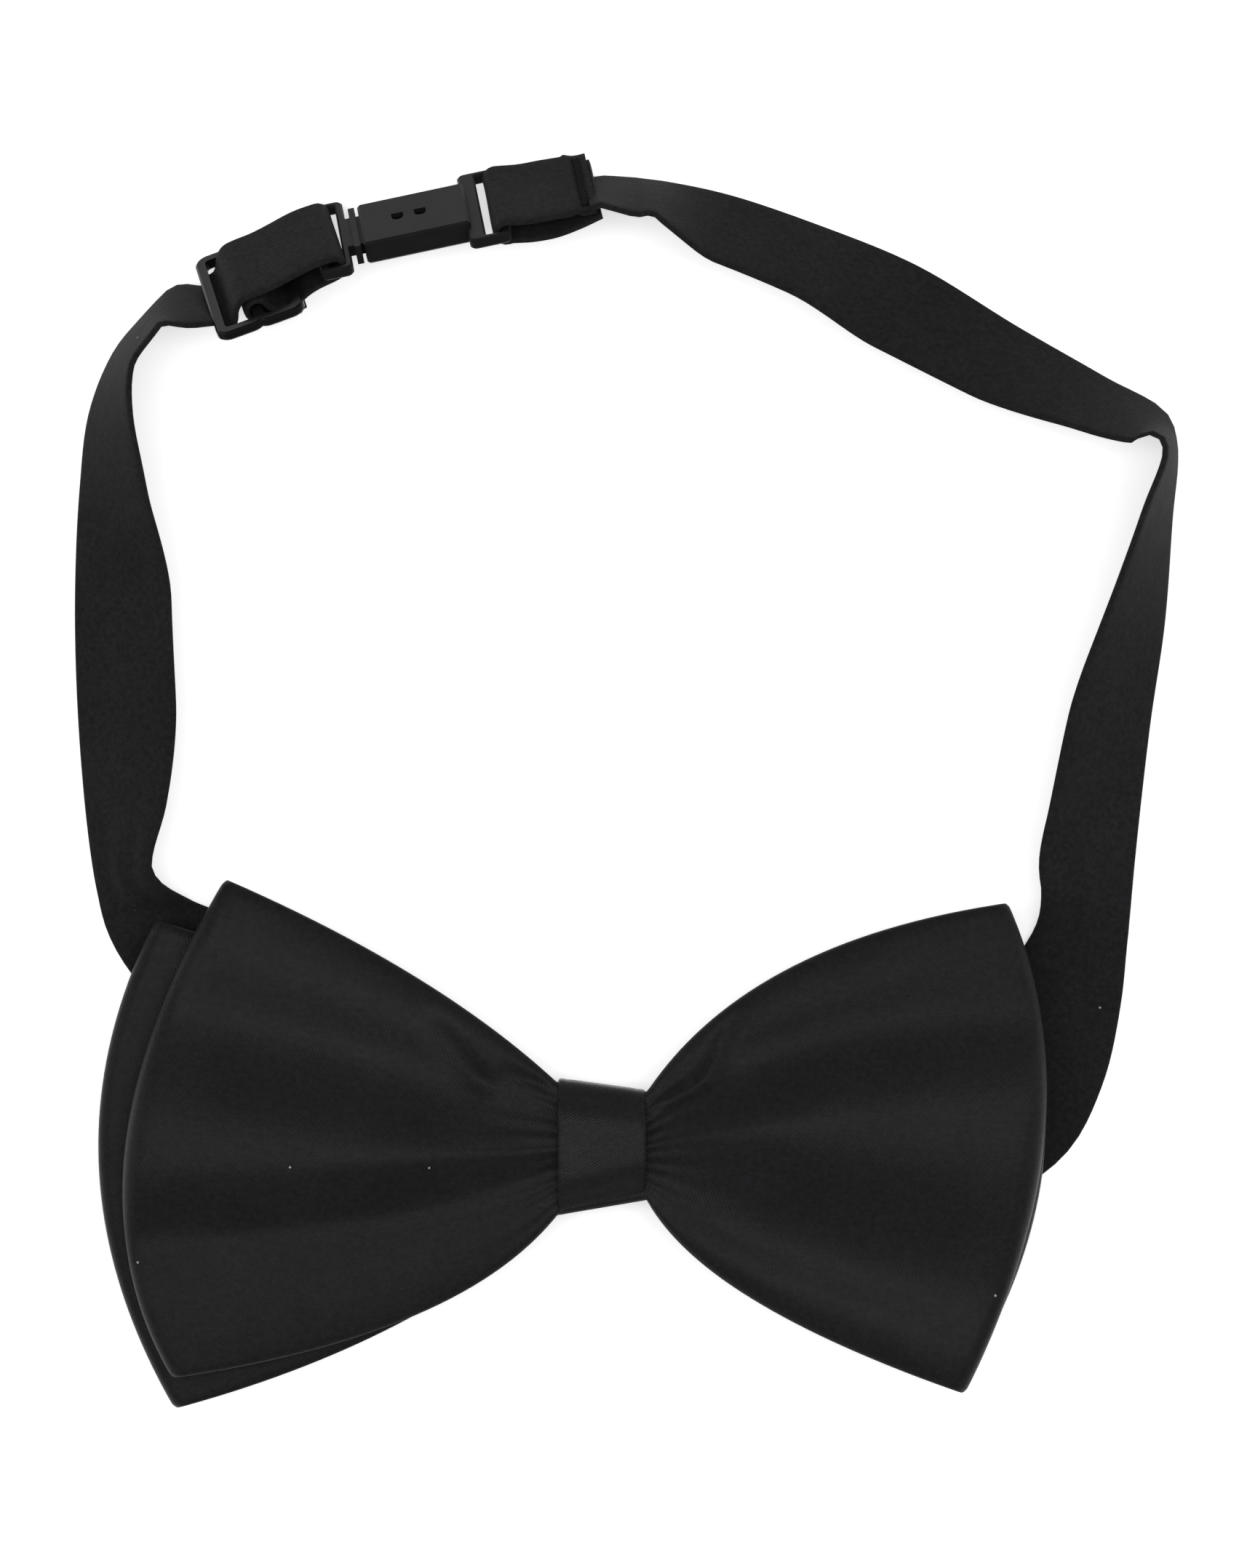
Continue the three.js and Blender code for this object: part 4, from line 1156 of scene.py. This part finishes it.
class TIE_PG_cloth(bpy.types.PropertyGroup):
    """Sizes and colours of the cloth and the thread."""

    satin_colour: colour_field("Satin colour", "Colour of the satin between its highlights", "#1a1a1b")
    satin_light: colour_field("Satin light colour", "Colour of the satin's raised floats", "#252527")
    satin_gloss: amount_field("Satin gloss", "Strength of the satin's sheen", 1, 0.06)
    satin_roughness: amount_field(
        "Satin roughness", "How widely the satin spreads a highlight", 0.9, 0.36, low=0.1
    )
    rib_spacing: length_field(
        "Rib spacing", "Distance between the satin's ribs as drawn", 0.0001, 0.002, 0.00034
    )
    interlining_colour: colour_field(
        "Interlining colour", "Colour of the stiffener inside the bows", "#e0ddd6"
    )
    thread_colour: colour_field("Thread colour", "Colour of the sewing thread", "#202022")
    leaf_thickness: length_field(
        "Leaf thickness", "Thickness of a bow's satin and stiffener", 0.0005, 0.002, 0.001
    )
    satin_wall: length_field(
        "Satin thickness", "Thickness of one layer of satin", 0.0001, 0.0005, 0.00025
    )
    interlining_thickness: length_field(
        "Interlining thickness", "Thickness of the stiffener", 0.0001, 0.001, 0.00032
    )
    hem: length_field("Hem", "Distance from a bow's edge to its stiffener", 0.0002, 0.005, 0.0009)
    band_thickness: length_field(
        "Band thickness", "Thickness of the band round the knot", 0.0003, 0.002, 0.0007
    )
    strap_width: length_field("Strap width", "Width of the neck strap", 0.012, 0.02, 0.015)
    strap_gathered: length_field(
        "Strap width in the knot", "Width of the strap where the knot gathers it",
        0.006, 0.015, 0.0096,
    )
    strap_thickness: length_field(
        "Strap thickness", "Thickness of the neck strap", 0.0004, 0.002, 0.0008
    )
    thread_diameter: length_field(
        "Thread diameter", "Diameter of the sewing thread", 0.0001, 0.0005, 0.00026
    )


class TIE_PG_hardware(bpy.types.PropertyGroup):
    """Colours and edges of the plastic parts."""

    clasp_colour: colour_field("Clasp colour", "Light tone of the moulded clasp", "#1e1e20")
    slider_colour: colour_field("Slider colour", "Light tone of the polished slider", "#161618")
    edge_radius: length_field("Edge radius", "Rounding of the moulded edges", 0.00002, 0.0003, 0.0001)


class TIE_PG_stage(bpy.types.PropertyGroup):
    """Floor, lights and camera."""

    floor_colour: colour_field("Floor colour", "Colour of the light table under the tie", "#fbfbfb")
    floor_glow: amount_field("Floor glow", "Light that comes through the table from below", 3, 0.5)
    camera_height: length_field("Camera height", "Height of the camera above the floor", 0.3, 3, 1.2)
    view_height: length_field(
        "View height", "Length of floor that the camera sees from top to bottom", 0.1, 1, 0.1979
    )
    overhead_power: amount_field(
        "Overhead light", "Power of the long soft light overhead", 500, 12.0, unit="POWER"
    )
    side_power: amount_field(
        "Side lights", "Power of each soft light at the sides", 500, 3.0, unit="POWER"
    )
    surround: amount_field("Surround", "Strength of the even light from all round", 3, 0.35)


SETTINGS = {"tie_cloth": TIE_PG_cloth, "tie_hardware": TIE_PG_hardware, "tie_stage": TIE_PG_stage}


# ---- operators


class MakesPieces:
    """What the operators share: each makes its pieces from one group of the scene's settings."""

    def execute(self, context):
        self.make(getattr(context.scene, self.group))
        return {"FINISHED"}


class TIE_OT_stage(MakesPieces, bpy.types.Operator):
    """Makes the floor, the lights and the camera"""

    bl_idname, bl_label = "tie.make_stage", "Stage"
    group, make = "tie_stage", staticmethod(make_stage)


class TIE_OT_bows(MakesPieces, bpy.types.Operator):
    """Makes the satin and the interlining of the front and the back bow"""

    bl_idname, bl_label = "tie.make_bows", "Bows"
    group, make = "tie_cloth", staticmethod(make_bows)


class TIE_OT_knot(MakesPieces, bpy.types.Operator):
    """Makes the band of satin round the knot"""

    bl_idname, bl_label = "tie.make_knot", "Knot band"
    group, make = "tie_cloth", staticmethod(make_knot)


class TIE_OT_straps(MakesPieces, bpy.types.Operator):
    """Makes the two halves of the neck strap"""

    bl_idname, bl_label = "tie.make_straps", "Neck strap"
    group, make = "tie_cloth", staticmethod(make_straps)


class TIE_OT_hardware(MakesPieces, bpy.types.Operator):
    """Makes the clasp's two halves and the slider"""

    bl_idname, bl_label = "tie.make_hardware", "Clasp and slider"
    group, make = "tie_hardware", staticmethod(make_hardware)


class TIE_OT_strap_folds(MakesPieces, bpy.types.Operator):
    """Makes the folded strap ends at the clasp and the slider"""

    bl_idname, bl_label = "tie.make_strap_folds", "Folded strap ends"
    group, make = "tie_cloth", staticmethod(make_strap_folds)


class TIE_OT_threads(MakesPieces, bpy.types.Operator):
    """Makes the bar tacks, the stitches behind the knot and its binding thread"""

    bl_idname, bl_label = "tie.make_threads", "Threads"
    group, make = "tie_cloth", staticmethod(make_threads)


OPERATORS = (
    TIE_OT_stage, TIE_OT_bows, TIE_OT_knot, TIE_OT_straps, TIE_OT_hardware, TIE_OT_strap_folds,
    TIE_OT_threads,
)


class TIE_PT_panel(bpy.types.Panel):
    """Lists the tie's settings and the operators that make its pieces"""

    bl_idname = "TIE_PT_panel"
    bl_label = "Bow tie"
    bl_space_type = "VIEW_3D"
    bl_region_type = "UI"
    bl_category = "Bow tie"

    def draw(self, context):
        layout = self.layout
        for group, cls in SETTINGS.items():
            box = layout.box()
            for name in cls.__annotations__:
                box.prop(getattr(context.scene, group), name)
        for operator in OPERATORS:
            layout.operator(operator.bl_idname)


def register():
    for cls in (*SETTINGS.values(), *OPERATORS, TIE_PT_panel):
        bpy.utils.register_class(cls)
    for name, cls in SETTINGS.items():
        setattr(bpy.types.Scene, name, bpy.props.PointerProperty(type=cls))


def unregister():
    for name in SETTINGS:
        delattr(bpy.types.Scene, name)
    for cls in reversed((*SETTINGS.values(), *OPERATORS, TIE_PT_panel)):
        bpy.utils.unregister_class(cls)


def main():
    register()
    bpy.ops.tie.make_stage()
    bpy.ops.tie.make_bows()
    bpy.ops.tie.make_knot()
    bpy.ops.tie.make_straps()
    bpy.ops.tie.make_hardware()
    bpy.ops.tie.make_strap_folds()
    bpy.ops.tie.make_threads()


if __name__ == "__main__":
    main()
